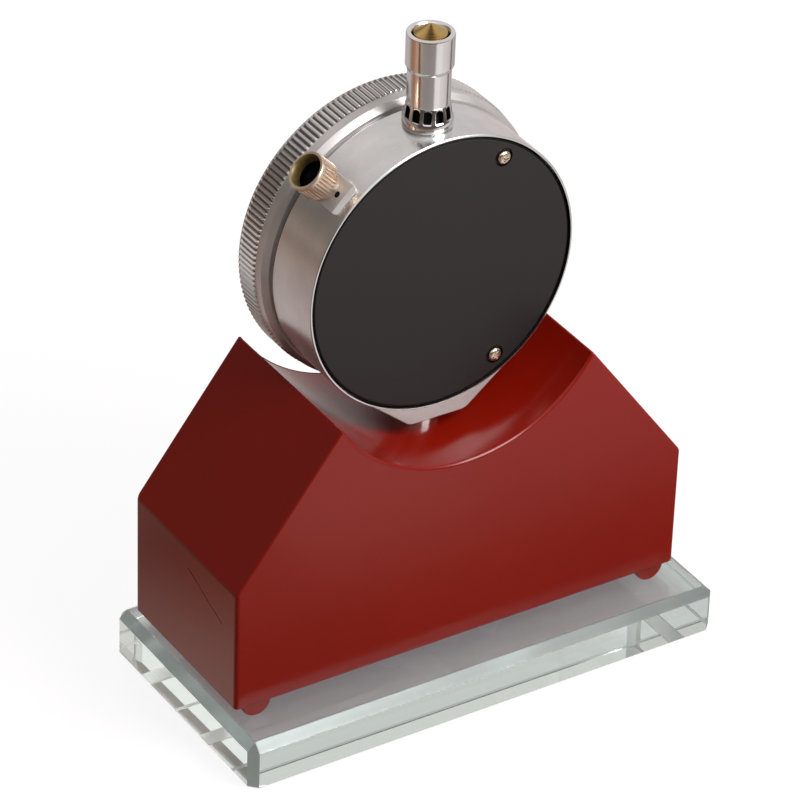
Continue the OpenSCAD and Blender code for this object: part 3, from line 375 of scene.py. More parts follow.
def makeFloor():
    clear()
    bpy.ops.mesh.primitive_plane_add(size=paper["size"], location=(0, 0, -paper["under"]))
    floor = named("floor")
    material, tree = newMaterial("palePaper")
    path = addNode(tree, "LightPath")
    where = addNode(tree, "TexCoord")
    away = addNode(tree, "VectorMath", {0: where.outputs["Object"]}, operation="LENGTH")
    diffuse = addNode(tree, "BsdfDiffuse", {"Color": colour(paper["tone"])})
    # glass shows the shaded paper under the plate and lit paper beside it
    apart = addNode(tree, "VectorMath", {0: where.outputs["Object"]}, operation="ABSOLUTE")
    reach = addNode(tree, "SeparateXYZ", {0: apart})
    inX, outX = paper["plateX"]
    inY, outY = paper["plateY"]
    besideX = addNode(tree, "MapRange", {0: reach.outputs["X"], 1: inX, 2: outX})
    besideY = addNode(tree, "MapRange", {0: reach.outputs["Y"], 1: inY, 2: outY})
    beside = addNode(tree, "Math", {0: besideX, 1: besideY}, operation="MAXIMUM")
    tint = addNode(tree, "Mix", {0: beside, 6: colour(paper["shadedTint"]), 7: colour("#ffffff")},
                   data_type="RGBA")
    white = addNode(tree, "Emission", {"Color": tint.outputs[2], "Strength": paper["white"]})
    split = addNode(tree, "SeparateXYZ", {0: where.outputs["Object"]})
    bearing = addNode(tree, "Math", {0: split.outputs["X"], 1: split.outputs["Y"]}, operation="ARCTAN2")
    turns = addNode(tree, "MapRange", {0: bearing, 1: -math.pi, 2: math.pi})
    # far paper is pale on one side and warm on the other
    start, end = paper["farX"]
    pale = addNode(tree, "MapRange", {0: split.outputs["X"], 1: start, 2: end})
    tones = addNode(tree, "ValToRGB", {0: away.outputs["Value"]}, floorTones)
    tones = addNode(tree, "Mix", {0: pale, 6: tones, 7: colour(paper["far"])}, data_type="RGBA")
    start, end = paper["stripY"]
    strip = addNode(tree, "MapRange", {0: split.outputs["Y"], 1: start, 2: end})
    strip = addNode(tree, "ValToRGB", {0: strip}, stripTones)
    tones = addNode(tree, "Mix", {0: 1.0, 6: tones.outputs[2], 7: strip}, data_type="RGBA",
                    blend_type="MULTIPLY")
    start, end = paper["sides"]
    fade = addNode(tree, "MapRange", {0: away.outputs["Value"], 1: start, 2: end})
    sides = addNode(tree, "ValToRGB", {0: turns}, sideTones)
    tones = addNode(tree, "Mix", {0: fade, 6: tones.outputs[2], 7: sides}, data_type="RGBA",
                    blend_type="MULTIPLY")
    # painted reflections: for mirror rays the floor glows with these tones, a shaded strip and a pool of lamp
    # light among them
    grey = addNode(tree, "Emission", {"Color": tones.outputs[2], "Strength": light["mirror"]})
    shown = addNode(tree, "Math", {0: path.outputs["Is Camera Ray"], 1: paper["share"]}, operation="MULTIPLY")
    share = addNode(tree, "MapRange", {0: beside, 3: paper["throughGlass"], 4: paper["besideGlass"]})
    through = addNode(tree, "Math", {0: path.outputs["Is Transmission Ray"], 1: share}, operation="MULTIPLY")
    amount = addNode(tree, "Math", {0: shown, 1: through}, operation="MAXIMUM")
    seen = addNode(tree, "MixShader", {0: amount, 1: diffuse, 2: white})
    # a ray that goes through glass counts as glossy too
    glossy, transmitted = path.outputs["Is Glossy Ray"], path.outputs["Is Transmission Ray"]
    mirrored = addNode(tree, "Math", {0: glossy, 1: transmitted}, operation="SUBTRACT", use_clamp=True)
    both = addNode(tree, "MixShader", {0: mirrored, 1: seen, 2: grey})
    addNode(tree, "OutputMaterial", {"Surface": both})
    floor.data.materials.append(material)


# metres and watts; a lamp that isn't shown is in no mirror and behind no glass
lamps = {"keyLamp": {"place": (-0.08, 0.20, 0.27), "aim": (0, 0, 0.06), "size": 0.17, "power": 1.05,
                     "shown": True},
         "dialLamp": {"place": (-0.05, -0.40, 0.25), "aim": (0, 0, 0.08), "size": 0.30, "power": 0.8,
                      "shown": False}}


def makeLamp(name, place, aim, size, power, shown):
    data = bpy.data.lights.new(name, "AREA")
    data.size = size
    data.energy = power
    lamp = bpy.data.objects.new(name, data)
    lamp.visible_glossy = shown
    lamp.visible_transmission = shown
    bpy.context.scene.collection.objects.link(lamp)
    facing = (Vector(place) - Vector(aim)).to_track_quat("Z", "Y").to_matrix().to_4x4()
    lamp.matrix_world = Matrix.Translation(place) @ facing


makeWorld()
makeFloor()
for name, lamp in lamps.items():
    makeLamp(name, **lamp)
# glass needs many bounces to show its far faces
cycles = bpy.context.scene.cycles
cycles.max_bounces, cycles.glossy_bounces, cycles.transmission_bounces = 24, 16, 24
print("stage ready")


# bezel clamp: a bent lug on an axis that leans out of the dial
clamp = {"angle": 45, "forward": 0.6, "caseRadius": 28.8, "lugThick": 0.8, "lugWidth": 6.4, "back": 6.2,
         "front": -6.6, "hole": 0.62, "holeAt": 3.4, "lip": 0.9, "bend": 0.6, "bed": 0.35, "corner": 0.7,
         "soft": 0.1, "shankRoom": 0.1, "shadeDeep": 0.04}
clampPlace = shift(dialX, -clamp["forward"], dialZ) \
    @ Matrix.Rotation(math.radians(90 - clamp["angle"]), 4, "Y")


# materials
def within(tree, place):
    # Object coordinates as seen from a place, so that its +Z is the axis of a turned piece
    where = addNode(tree, "TexCoord")
    back = place.inverted()
    return addNode(tree, "Mapping", {"Vector": where.outputs["Object"], "Location": back.translation,
                                     "Rotation": back.to_euler()})


def latheMarks(tree, place, spacing):
    # fine rings by radius and height, which fade in and out along the turn
    split = addNode(tree, "SeparateXYZ", {0: within(tree, place)})
    flat = addNode(tree, "CombineXYZ", {"X": split.outputs["X"], "Y": split.outputs["Y"]})
    radius = addNode(tree, "VectorMath", {0: flat}, operation="LENGTH")
    drift = addNode(tree, "Math", {0: split.outputs["X"], 1: 0.03}, operation="MULTIPLY")
    rings = addNode(tree, "CombineXYZ", {"X": radius.outputs["Value"], "Y": split.outputs["Z"], "Z": drift})
    return addNode(tree, "TexNoise", {"Vector": rings, "Scale": 1 / (spacing * mm), "Detail": 3.0,
                                      "Roughness": 0.6})


def strokes(tree, place, spacing):
    # straight lines of a grinding belt, along the place's X
    long = addNode(tree, "VectorMath", {0: within(tree, place), 1: (0.02, 1, 1)}, operation="MULTIPLY")
    return addNode(tree, "TexNoise", {"Vector": long, "Scale": 1 / (spacing * mm), "Detail": 2.0,
                                      "Roughness": 0.6})


def grain(tree, size, detail=2.0):
    where = addNode(tree, "TexCoord")
    return addNode(tree, "TexNoise", {"Vector": where.outputs["Object"], "Scale": 1 / (size * mm),
                                      "Detail": detail})


def surface(name, look, marks, painted=False):
    # look is two tones and the size of their cloud, the roughness and how it varies, and the marks' depth
    material, tree = newMaterial(name)
    cloud, lines = grain(tree, look["cloud"]), marks(tree)
    share = addNode(tree, "MapRange", {0: cloud, 1: 0.35, 2: 0.65})
    first, second = (colour(code) for code in look["tones"])
    tones = addNode(tree, "Mix", {0: share, 6: first, 7: second}, data_type="RGBA")
    # the gloss of paint varies with its cloud, and that of metal with its marks
    low, high = look["roughness"] - look["varies"], look["roughness"] + look["varies"]
    gloss = addNode(tree, "MapRange", {0: cloud if painted else lines, 1: 0.3, 2: 0.7, 3: low, 4: high})
    relief = addNode(tree, "Bump", {"Height": lines, "Distance": look["depth"] * mm, "Strength": 1.0})
    shader = addNode(tree, "BsdfPrincipled", {
        "Base Color": tones.outputs[2], "Metallic": 0.0 if painted else look.get("metal", 1.0),
        "Roughness": gloss, "Specular IOR Level": look.get("specular", 0.5), "Normal": relief})
    addNode(tree, "OutputMaterial", {"Surface": shader})
    return material


def turned(name, look, place):
    return surface(name, look, lambda tree: latheMarks(tree, place, look["spacing"]))


def ground(name, look, place):
    return surface(name, look, lambda tree: strokes(tree, place, look["spacing"]))


def blasted(name, look):
    return surface(name, look, lambda tree: grain(tree, look["spacing"]))


def lacquer(name, look):
    # sprayed or stoved paint: a fine orange peel, slightly uneven colour and gloss
    return surface(name, look, lambda tree: grain(tree, look["peel"], 1.0), True)


def glass(name, look):
    material, tree = newMaterial(name)
    shader = addNode(tree, "BsdfPrincipled", {
        "Base Color": colour(look["tone"]), "Roughness": look["roughness"], "IOR": look["ior"],
        "Transmission Weight": 1.0, "Specular IOR Level": look.get("specular", 0.5)})
    if look.get("letsLampIn"):
        path = addNode(tree, "LightPath")
        through = addNode(tree, "BsdfTransparent", {"Color": colour(look["tone"])})
        shader = addNode(tree, "MixShader", {0: path.outputs["Is Shadow Ray"], 1: shader, 2: through})
    addNode(tree, "OutputMaterial", {"Surface": shader})
    return material


# stoved enamel on a machined casting: satin, brown-red, with a faint orange peel
enamelLook = {"tones": ("#7f1104", "#821205"), "cloud": 30, "peel": 1.1, "depth": 0.004, "roughness": 0.2,
              "varies": 0.01, "specular": 0.34}
# chrome plate over turned brass: mirror-like, with rings of the tool drawn wider than the real 0.05 mm
brightLook = {"tones": ("#e6e6e6", "#ececec"), "cloud": 4, "spacing": 0.35, "depth": 0.0015,
              "roughness": 0.12, "varies": 0.03}
# satin chrome, brushed on the lathe before plating
satinLook = {"tones": ("#d9dada", "#e3e3e3"), "cloud": 6, "spacing": 0.16, "depth": 0.0012, "roughness": 0.24,
             "varies": 0.04}
# satin black lacquer on the pressed cover, with a fine texture
coverLook = {"tones": ("#191616", "#1b1818"), "cloud": 25, "peel": 0.35, "depth": 0.012, "roughness": 0.52,
             "varies": 0.03, "specular": 0.4}
# bare turned brass with a clear lacquer's pale tone
brassLook = {"tones": ("#bb9a5c", "#c9a96f"), "cloud": 3, "spacing": 0.3, "depth": 0.002, "roughness": 0.24,
             "varies": 0.06}
# nickelled brass, champagne where the plating is thin
nickelLook = {"tones": ("#d3bca6", "#dcc8b6"), "cloud": 2, "spacing": 0.5, "depth": 0.0004, "roughness": 0.33,
              "varies": 0.03, "metal": 0.85}
screwLook = {"tones": ("#d9cdb8", "#e2d8c6"), "cloud": 1.5, "spacing": 0.2, "depth": 0.002, "roughness": 0.22,
             "varies": 0.05}
steelLook = {"tones": ("#b3b1af", "#bfbdbb"), "cloud": 5, "spacing": 0.25, "depth": 0.003, "roughness": 0.3,
             "varies": 0.06}
# blackened steel: thin oxide, dull
darkLook = {"tones": ("#33312f", "#413f3c"), "cloud": 3, "spacing": 0.25, "depth": 0.003, "roughness": 0.42,
            "varies": 0.06}
# drawn spring wire
wireLook = {"tones": ("#a09e9b", "#aeacaa"), "cloud": 2, "spacing": 0.2, "depth": 0.002, "roughness": 0.26,
            "varies": 0.05}
# matt white dial enamel and glossy black hands
dialLook = {"tones": ("#efeee8", "#f4f3ee"), "cloud": 7, "peel": 0.5, "depth": 0.002, "roughness": 0.42,
            "varies": 0.03, "specular": 0.5}
handLook = {"tones": ("#141414", "#1a1a1a"), "cloud": 3, "peel": 0.4, "depth": 0.003, "roughness": 0.35,
            "varies": 0.04, "specular": 0.5}
# painted shade: near-black dull lacquer. It stands in for the shade and dark reflection on the cover's
# pressed edge, and for the shade in the collar's slots, the thumb screw's deep bore and the lug's hole
paintedShadeLook = {"tones": ("#050404", "#080707"), "cloud": 5, "peel": 0.4, "depth": 0.004, "roughness": 0.6,
            "varies": 0.03, "specular": 0.12}
# bead-blasted nickel of the flange and the lug
blastLook = {"tones": ("#bfbbb9", "#c8c4c2"), "cloud": 5, "spacing": 0.2, "depth": 0.012, "roughness": 0.46,
             "varies": 0.04, "metal": 0.5}
# brass darkened with painted shade, for the inside of the thumb screw's bore
boreShadeLook = {"tones": ("#746138", "#806c42"), "cloud": 2, "spacing": 0.3, "depth": 0.001, "roughness": 0.4,
            "varies": 0.05, "metal": 0.4}
# the bezel is duller than the case; the knurl's roots get painted shade, a dark grey
bezelLook = {"tones": ("#c6c2c0", "#d0ccca"), "cloud": 6, "spacing": 0.16, "depth": 0.0012, "roughness": 0.36,
             "varies": 0.04, "metal": 0.75}
knurlShadeLook = {"tones": ("#4c4643", "#58514e"), "cloud": 3, "peel": 0.4, "depth": 0.001, "roughness": 0.5,
            "varies": 0.03, "specular": 0.5}
# the knurl comes off its wheel bright and plain
knurlLook = {"tones": ("#d3d3d3", "#dddddd"), "cloud": 6, "spacing": 0.3, "depth": 0.0, "roughness": 0.2,
             "varies": 0.01}
# float glass, its ground bevels, and the arris, a rougher, darker strip with less gloss
floatLook = {"tone": "#e9f3ef", "roughness": 0.0, "ior": 1.52}
groundLook = {"tone": "#cbdad6", "roughness": 0.35, "ior": 1.52}
arrisLook = {"tone": "#bccbc7", "roughness": 0.55, "ior": 1.52, "specular": 0.2}
# acrylic, through which the lamps reach the dial
crystalLook = {"tone": "#f7fafa", "roughness": 0.0, "ior": 1.49, "letsLampIn": True}
finishes = {
    "paintedShade": lacquer("paintedShade", paintedShadeLook),
    "knurlChrome": turned("knurlChrome", knurlLook, dialPlace),
    "knurlRootShade": lacquer("knurlRootShade", knurlShadeLook),
    "bezelChrome": turned("bezelChrome", bezelLook, dialPlace),
    "boreShadeBrass": turned("boreShadeBrass", boreShadeLook, clampPlace),
    "blastedNickel": blasted("blastedNickel", blastLook),
    "red_paint": lacquer("stovedEnamel", enamelLook),
    "bright_chrome": turned("brightChrome", brightLook, uprightPlace),
    "satin_chrome": turned("satinChrome", satinLook, dialPlace),
    "black_cover": lacquer("blackLacquer", coverLook),
    "turned_brass": turned("turnedBrass", brassLook, uprightPlace),
    "thumbNickel": turned("nickelledBrass", nickelLook, clampPlace),
    "screwNickel": turned("nickelledScrew", screwLook, dialPlace),
    "ground_steel": turned("groundSteel", steelLook, uprightPlace),
    "dark_steel": ground("blackenedSteel", darkLook, uprightPlace),
    "spring_steel": turned("springSteel", wireLook, dialPlace),
    "white_dial": lacquer("dialEnamel", dialLook),
    "black_pointer": lacquer("pointerLacquer", handLook),
    "clear_glass": glass("floatGlass", floatLook),
    "groundEdge": glass("groundGlass", groundLook),
    "glassArris": glass("glassArris", arrisLook),
    "clear_crystal": glass("crystal", crystalLook),
}
for part in frame["record"]["subparts"]:
    for place in nodes[part["node"]].material_slots:
        place.material = finishes[part["material_slot"]]
print("materials ready")

# base casting: slab with two flanks, a round saddle, two feet and its bores
castBase = {"endHeight": 26.2, "slope": 53, "saddleLow": 40.3, "saddleRadius": 32.5, "edge": 0.4,
            "corner": 0.9, "footRadius": 3.1, "footAt": 44.9, "footShort": 1.2, "footEdge": 0.3,
            "footFillet": 1.5, "recess": 30.2, "recessDepth": 2, "recessCorner": 3, "rim": 0.25}
# a scratch on the end face, as points along Y and Z
scratch = {"points": [(0.0, 35.1), (3.0, 34.0), (5.6, 32.9), (8.4, 31.7), (10.7, 31.0), (12.8, 30.1)],
           "width": 0.22, "deep": 0.12}
# radius, place along X and Y from the stem's axis, lower and upper end above the glass
castBores = [(6.6, 0, 0, 0, 30), (4.01, 0, 0, 29, 60)] + [(3.01, 0, y, 0, 17.1) for y in (-11, 11)] \
    + [(1.9, 0, y, 0, 22) for y in (-11, 11)] \
    + [(1.26, x, y, 0, 12.1) for x in (-11.5, 11.5) for y in (-11.5, 11.5)]
setScrewBore = {"radius": 2.01, "height": 36.7}
plateLow, plateHigh = span("calibration_plate")
glassTop = plateHigh.z
castLow, castHigh = span("base_casting")


def makeBase():
    c = castBase
    under = glassTop + c["footRadius"]
    middle = (castLow.y + castHigh.y) / 2
    width = castHigh.y - castLow.y
    saddleZ = under + c["saddleLow"] + c["saddleRadius"]
    base = block("castBase", (castLow.x, castLow.y, under), (castHigh.x, castHigh.y, saddleZ))
    slope = math.radians(c["slope"])
    edit(base)
    for side in (-1, 1):
        endX = castHigh.x if side > 0 else castLow.x
        cutAt((endX, 0, under + c["endHeight"]), (side * math.sin(slope), 0, math.cos(slope)), True)
    saddle = rod("saddle", c["saddleRadius"], -width, width, 220)
    moved(saddle, shift(dialX, 0, saddleZ) @ layDown)
    combine(base, saddle)
    edit(base)

    def onRim(edge):
        a, b = ends(base, edge)
        return all(abs(math.hypot(p.x - dialX, p.z - saddleZ) - c["saddleRadius"]) < near for p in (a, b)) \
            and abs(a.y - b.y) < near and min(abs(a.y - y) for y in (castLow.y, castHigh.y)) < near
    choose(base, "EDGE", onRim)
    bevel(c["rim"], 2, clamp_overlap=False)

    def upright(edge):
        a, b = ends(base, edge)
        return math.hypot(a.x - b.x, a.y - b.y) < near \
            and min(abs(a.x - castLow.x), abs(a.x - castHigh.x)) < near
    choose(base, "EDGE", upright)
    bevel(c["corner"], 4)
    done()
    soften(base, c["edge"], 4, 32)
    half = width / 2 - c["footShort"] / 2
    for side in (-1, 1):
        foot = soften(rod("foot", c["footRadius"], -half, half, 64), c["footEdge"], 2)
        at = shift(dialX + side * c["footAt"], middle, under)
        combine(base, moved(foot, at @ layDown), "UNION")
    edit(base)
    inner = dialX + c["footAt"] - c["footRadius"], dialX - c["footAt"] + c["footRadius"]

    def atFillet(edge):
        a, b = ends(base, edge)
        return all(abs(p.z - under) < near and min(abs(p.x - x) for x in inner) < near for p in (a, b)) \
            and abs(a.y - b.y) > width / 4
    choose(base, "EDGE", atFillet)
    bevel(c["footFillet"], 6)
    done()
    half, deep = c["recess"] / 2, under + c["recessDepth"]
    recess = block("recess", (dialX - half, -half, 0), (dialX + half, half, deep))
    edit(recess)
    choose(recess, "EDGE", lambda edge: abs(ends(recess, edge)[0].z - ends(recess, edge)[1].z) > 1)
    bevel(c["recessCorner"], 6)
    done()
    combine(base, recess)
    for radius, x, y, low, high in castBores:
        bore = rod("bore", radius, glassTop + low, glassTop + high, 48)
        combine(base, moved(bore, Matrix.Translation((dialX * mm + x * mm, y * mm, 0))))
    bore = moved(rod("bore", setScrewBore["radius"], 0, width, 32), layDown)
    combine(base, moved(bore, shift(dialX, 0, glassTop + setScrewBore["height"])))
    points, half = scratch["points"], scratch["width"] / 2
    line = block("scratch", (castHigh.x - scratch["deep"], points[0][0], -half),
                 (castHigh.x + 1, points[-1][0], half))
    edit(line)
    for y, z in points[1:-1]:
        cutAt((0, y, 0), (0, 1, 0))
    for y, z in points:
        choose(line, "VERT", lambda vertex: abs(vertex.co.y / mm - y) < near)
        bpy.ops.transform.translate(value=(0, 0, z * mm))
    done()
    combine(base, line)
    finished(base, "housing", ["base_casting"], "red_paint", 25)


makeBase()

# glass plate, with ground bevels
glassPlate = {"bevel": 1.7, "lowBevel": 0.4, "arris": 0.22}
arrisArea = 1e-4  # square metres, more than any face of the arris has


def makeGlass():
    plate = block("glassPlate", plateLow, plateHigh)
    edit(plate)
    for offset, isLow in ((glassPlate["bevel"], False), (glassPlate["lowBevel"], True)):
        choose(plate, "EDGE", lambda edge: (max(p.z for p in ends(plate, edge)) < near) == isLow)
        bevel(offset, 1)
    # the arris, a fine line between the top and its bevel
    choose(plate, "FACE", lambda face: face.normal.z > 0.99)
    bpy.ops.mesh.inset(thickness=glassPlate["arris"] * mm)
    done()
    finished(plate, "plate", ["calibration_plate"], "clear_glass", 5)
    refinished(plate, "groundEdge", lambda face: max(abs(c) for c in face.normal) < 0.99)
    refinished(plate, "glassArris", lambda face: face.normal.z > 0.99 and face.area < arrisArea)


makeGlass()

# bezel ring: turned profile from the window round to the seat of the scale, with a straight knurl
bezelRing = {"front": -16.6, "back": -7.3, "radius": 30.4, "root": 30.0, "knurlBack": -10.4, "flutes": 166,
             "depth": 0.45, "window": 26.2, "bore": 27.3, "pocket": 27.9, "seat": -11.4,
             "crystalFront": -15.8}


def makeBezel():
    b = bezelRing
    r, front, knurlBack = b["radius"], b["front"], b["knurlBack"]
    profile = [(b["window"], b["crystalFront"]), (b["window"], front + 0.35), (b["window"] + 0.35, front),
               (r - 0.9, front), (r - 0.35, front + 0.2), (r - 0.02, front + 0.6), (r, front + 0.75),
               (r, knurlBack - 0.5), (r - 0.05, knurlBack - 0.3), (b["root"] + 0.05, knurlBack),
               (b["root"], knurlBack + 0.1), (b["root"], b["back"] - 1.1), (b["root"] - 0.1, b["back"] - 1.0),
               (b["root"] - 0.85, b["back"] - 0.1), (b["root"] - 1.0, b["back"]),
               (b["bore"] + 0.1, b["back"]), (b["bore"], b["back"] - 0.1), (b["bore"], b["seat"]),
               (b["pocket"], b["seat"]), (b["pocket"], b["crystalFront"]), (b["window"], b["crystalFront"])]
    ring = lathe("bezelRing", profile, perFlute * b["flutes"])
    # the knurl: two of every four columns move in
    edit(ring)

    def inFlute(vertex):
        x, y, z = vertex.co / mm
        return columnOf(x, y, b["flutes"]) < 2 and front + 0.5 < z < knurlBack - 0.2 \
            and math.hypot(x, y) > r - 0.1
    choose(ring, "VERT", inFlute)
    inward = 1 - b["depth"] / r
    bpy.ops.transform.resize(value=(inward, inward, 1), center_override=(0, 0, 0))
    done()
    roots = [face.index for face in ring.data.polygons if front + 0.5 < face.center.z / mm < knurlBack - 0.3
             and r - 0.8 < math.hypot(face.center.x, face.center.y) / mm < r - 0.3]
    moved(ring, dialPlace)
    finished(ring, "bezel", ["bezel_ring"], "satin_chrome", 30, "bezelChrome")
    refinished(ring, "knurlChrome", lambda face: front + 0.5 < face.center.y / mm < knurlBack - 0.1
               and math.hypot(face.center.x / mm - dialX, face.center.z / mm - dialZ) > r - 0.8)
    # painted shade in the knurl's roots
    refinished(ring, "knurlRootShade", lambda face: face.index in roots)


makeBezel()

# flange under the case, which carries the stem
stemFlange = {"half": 6.2, "reach": 14.5, "corner": 2.5, "case": 28.81, "stem": 4.01, "soft": 0.3}
flangeLow, flangeHigh = span("stem_flange")


def makeFlange():
    f = stemFlange
    low, meet = flangeLow.z, dialZ - math.sqrt(f["case"] ** 2 - f["reach"] ** 2)
    flange = block("stemFlange", (dialX - f["reach"], flangeLow.y, low),
                   (dialX + f["reach"], flangeHigh.y, meet))
    lean = math.atan2(meet - low, f["reach"] - f["half"])
    edit(flange)
    for side in (-1, 1):
        cutAt((dialX + side * f["half"], 0, low), (side * math.sin(lean), 0, -math.cos(lean)), True)

    def lowCorner(edge):
        a, b = ends(flange, edge)
        return max(abs(a.z - low), abs(b.z - low)) < near and abs(a.y - b.y) > 1
    choose(flange, "EDGE", lowCorner)
    bevel(f["corner"] * math.tan(lean / 2), 6)
    done()
    soften(flange, f["soft"], 3, 50)
    case = moved(rod("case", f["case"], -20, 20, 360), shift(dialX, 0, dialZ) @ layDown)
    combine(flange, case)
    combine(flange, moved(rod("stem", f["stem"], low - 5, low + 20, 96), uprightPlace))
    finished(flange, "housing", ["stem_flange"], "bright_chrome", 30, "blastedNickel")


makeFlange()

# collar nut: plain foot, and slots with round tops in a part that narrows to the cap
collarNut = {"bore": 3.02, "foot": 4.8, "footHeight": 2.3, "slotted": 4.55, "neck": 4.12, "edge": 0.3,
             "slots": 12, "slotWidth": 1.5, "slotFloor": 3.3, "slotEnd": 0.35, "firstSlot": 57, "soft": 0.08}
collarLow, collarHigh = span("collar_nut")


def makeCollar():
    c = collarNut
    low, top = collarLow.z, collarHigh.z
    footTop, slotTop = low + c["footHeight"], top - c["slotEnd"]
    profile = [(c["bore"], low), (c["foot"] - c["edge"], low), (c["foot"], low + c["edge"]),
               (c["foot"], footTop - c["edge"]), (c["slotted"], footTop), (c["neck"], top), (c["bore"], top),
               (c["bore"], low)]
    nut = lathe("collarNut", profile, 192)
    moved(nut, uprightPlace)
    width, deep = c["slotWidth"], c["slotFloor"]
    slot = block("slot", (deep, -width / 2, footTop), (deep + 2, width / 2, slotTop))
    edit(slot)

    def outward(edge):
        a, b = ends(slot, edge)
        return min(a.z, b.z) > slotTop - near and abs(a.x - b.x) > 1
    choose(slot, "EDGE", outward)
    bevel(width * 0.49, 8)
    done()
    slots = around(slot, c["slots"], "Z", math.radians(c["firstSlot"]))
    combine(nut, moved(slots, uprightPlace))
    soften(nut, c["soft"], 2, 40)
    finished(nut, "housing", ["collar_nut"], "satin_chrome", 40, "bright_chrome")
    # painted shade: the faces inside the slots are near-black
    refinished(nut, "paintedShade", lambda face: footTop < face.center.z / mm < slotTop
               and math.hypot(face.center.x / mm - dialX, face.center.y / mm) < c["neck"] - 0.12)


makeCollar()

# cap over the spindle, open at the top
topCap = {"neck": 4.12, "head": 4.58, "neckHeight": 6.8, "chamfer": 0.8, "bore": 3.3, "boreDeep": 8.0,
          "lip": 0.3, "seat": 3.02}
capLow, capHigh = span("top_cap")


def makeCap():
    c = topCap
    low, top = capLow.z, capHigh.z
    step = low + c["neckHeight"]
    profile = [(c["seat"], low), (c["neck"], low), (c["neck"], step - 0.12), (c["neck"] + 0.12, step),
               (c["head"] - 0.1, step + c["chamfer"] - 0.12), (c["head"], step + c["chamfer"] + 0.05),
               (c["head"], top - 0.35), (c["head"] - 0.1, top - 0.1), (c["head"] - 0.35, top),
               (c["bore"] + c["lip"] + 0.1, top), (c["bore"] + 0.1, top - 0.3), (c["bore"], top - 0.6),
               (c["bore"], top - c["boreDeep"]), (c["seat"], top - c["boreDeep"] - 0.1), (c["seat"], low)]
    cap = lathe("topCap", profile, 128)
    moved(cap, uprightPlace)
    finished(cap, "housing", ["top_cap"], "bright_chrome", 35)


makeCap()

# brass tip with a low cone
brassTip = {"cone": 1.65, "edge": 0.2}
tipLow, tipHigh = span("brass_tip")


def makeTip():
    r, low, top = (tipHigh.x - tipLow.x) / 2, tipLow.z, tipHigh.z
    rim, edge = top - brassTip["cone"], brassTip["edge"]
    profile = [(0, low), (r - edge, low), (r, low + edge), (r, rim - 0.25), (r - 0.07, rim - 0.07),
               (r - 0.25, rim + 0.05), (0.32, top - 0.1), (0.15, top - 0.02), (0, top)]
    tip = lathe("brassTip", profile, 96)
    moved(tip, uprightPlace)
    finished(tip, "bar", ["brass_tip"], "turned_brass", 25)


makeTip()

# hollow thumb screw of the bezel clamp
thumbScrew = {"radius": 3.95, "height": 5.3, "shank": 1.5, "neck": 2.9, "neckHeight": 1.4, "wall": 0.7,
              "flutes": 36, "fluteDepth": 0.3, "shankLong": 3.3, "boreDeep": 4.9}


def makeLug():
    c = clamp
    half, case, top = c["lugWidth"] / 2, c["caseRadius"], c["caseRadius"] + c["lugThick"]
    lug = block("clampLug", (-half, c["front"], case - c["bed"]), (half, c["back"], top))
    edit(lug)
    # the rear end is bent down onto the case
    cutAt((0, c["back"] - c["lip"], 0), (0, 1, 0))
    choose(lug, "VERT", lambda v: v.co.y / mm > c["back"] - 0.1 and v.co.z / mm > top - 0.1)
    bpy.ops.transform.translate(value=(0, 0, -c["bend"] * mm))

    def rearCorner(edge):
        a, b = ends(lug, edge)
        return min(a.y, b.y) > c["back"] - 0.1 and abs(a.x - b.x) < 0.1
    choose(lug, "EDGE", rearCorner)
    bevel(c["corner"], 4)
    done()
    combine(lug, moved(rod("case", case + 0.01, -20, 20, 360), layDown))
    combine(lug, rod("shankHole", thumbScrew["shank"] + c["shankRoom"], 20, 40, 48))
    atHole = shift(0, c["holeAt"], 0)
    combine(lug, moved(rod("hole", c["hole"], 20, 40, 32), atHole))
    soften(lug, c["soft"], 2, 25)
    moved(lug, clampPlace)
    finished(lug, "housing", ["clamp_lug"], "satin_chrome", 30, "blastedNickel")
    # painted shade: a near-black plug fills the lug's hole to just below its top, standing in for the shade
    # inside it
    holeShade = soften(rod("lugHoleShade", c["hole"] + 0.02, case, top - c["shadeDeep"], 32), 0.03, 1)
    moved(holeShade, clampPlace @ atHole)
    finished(holeShade, "housing", [], "black_cover", 30, "paintedShade")


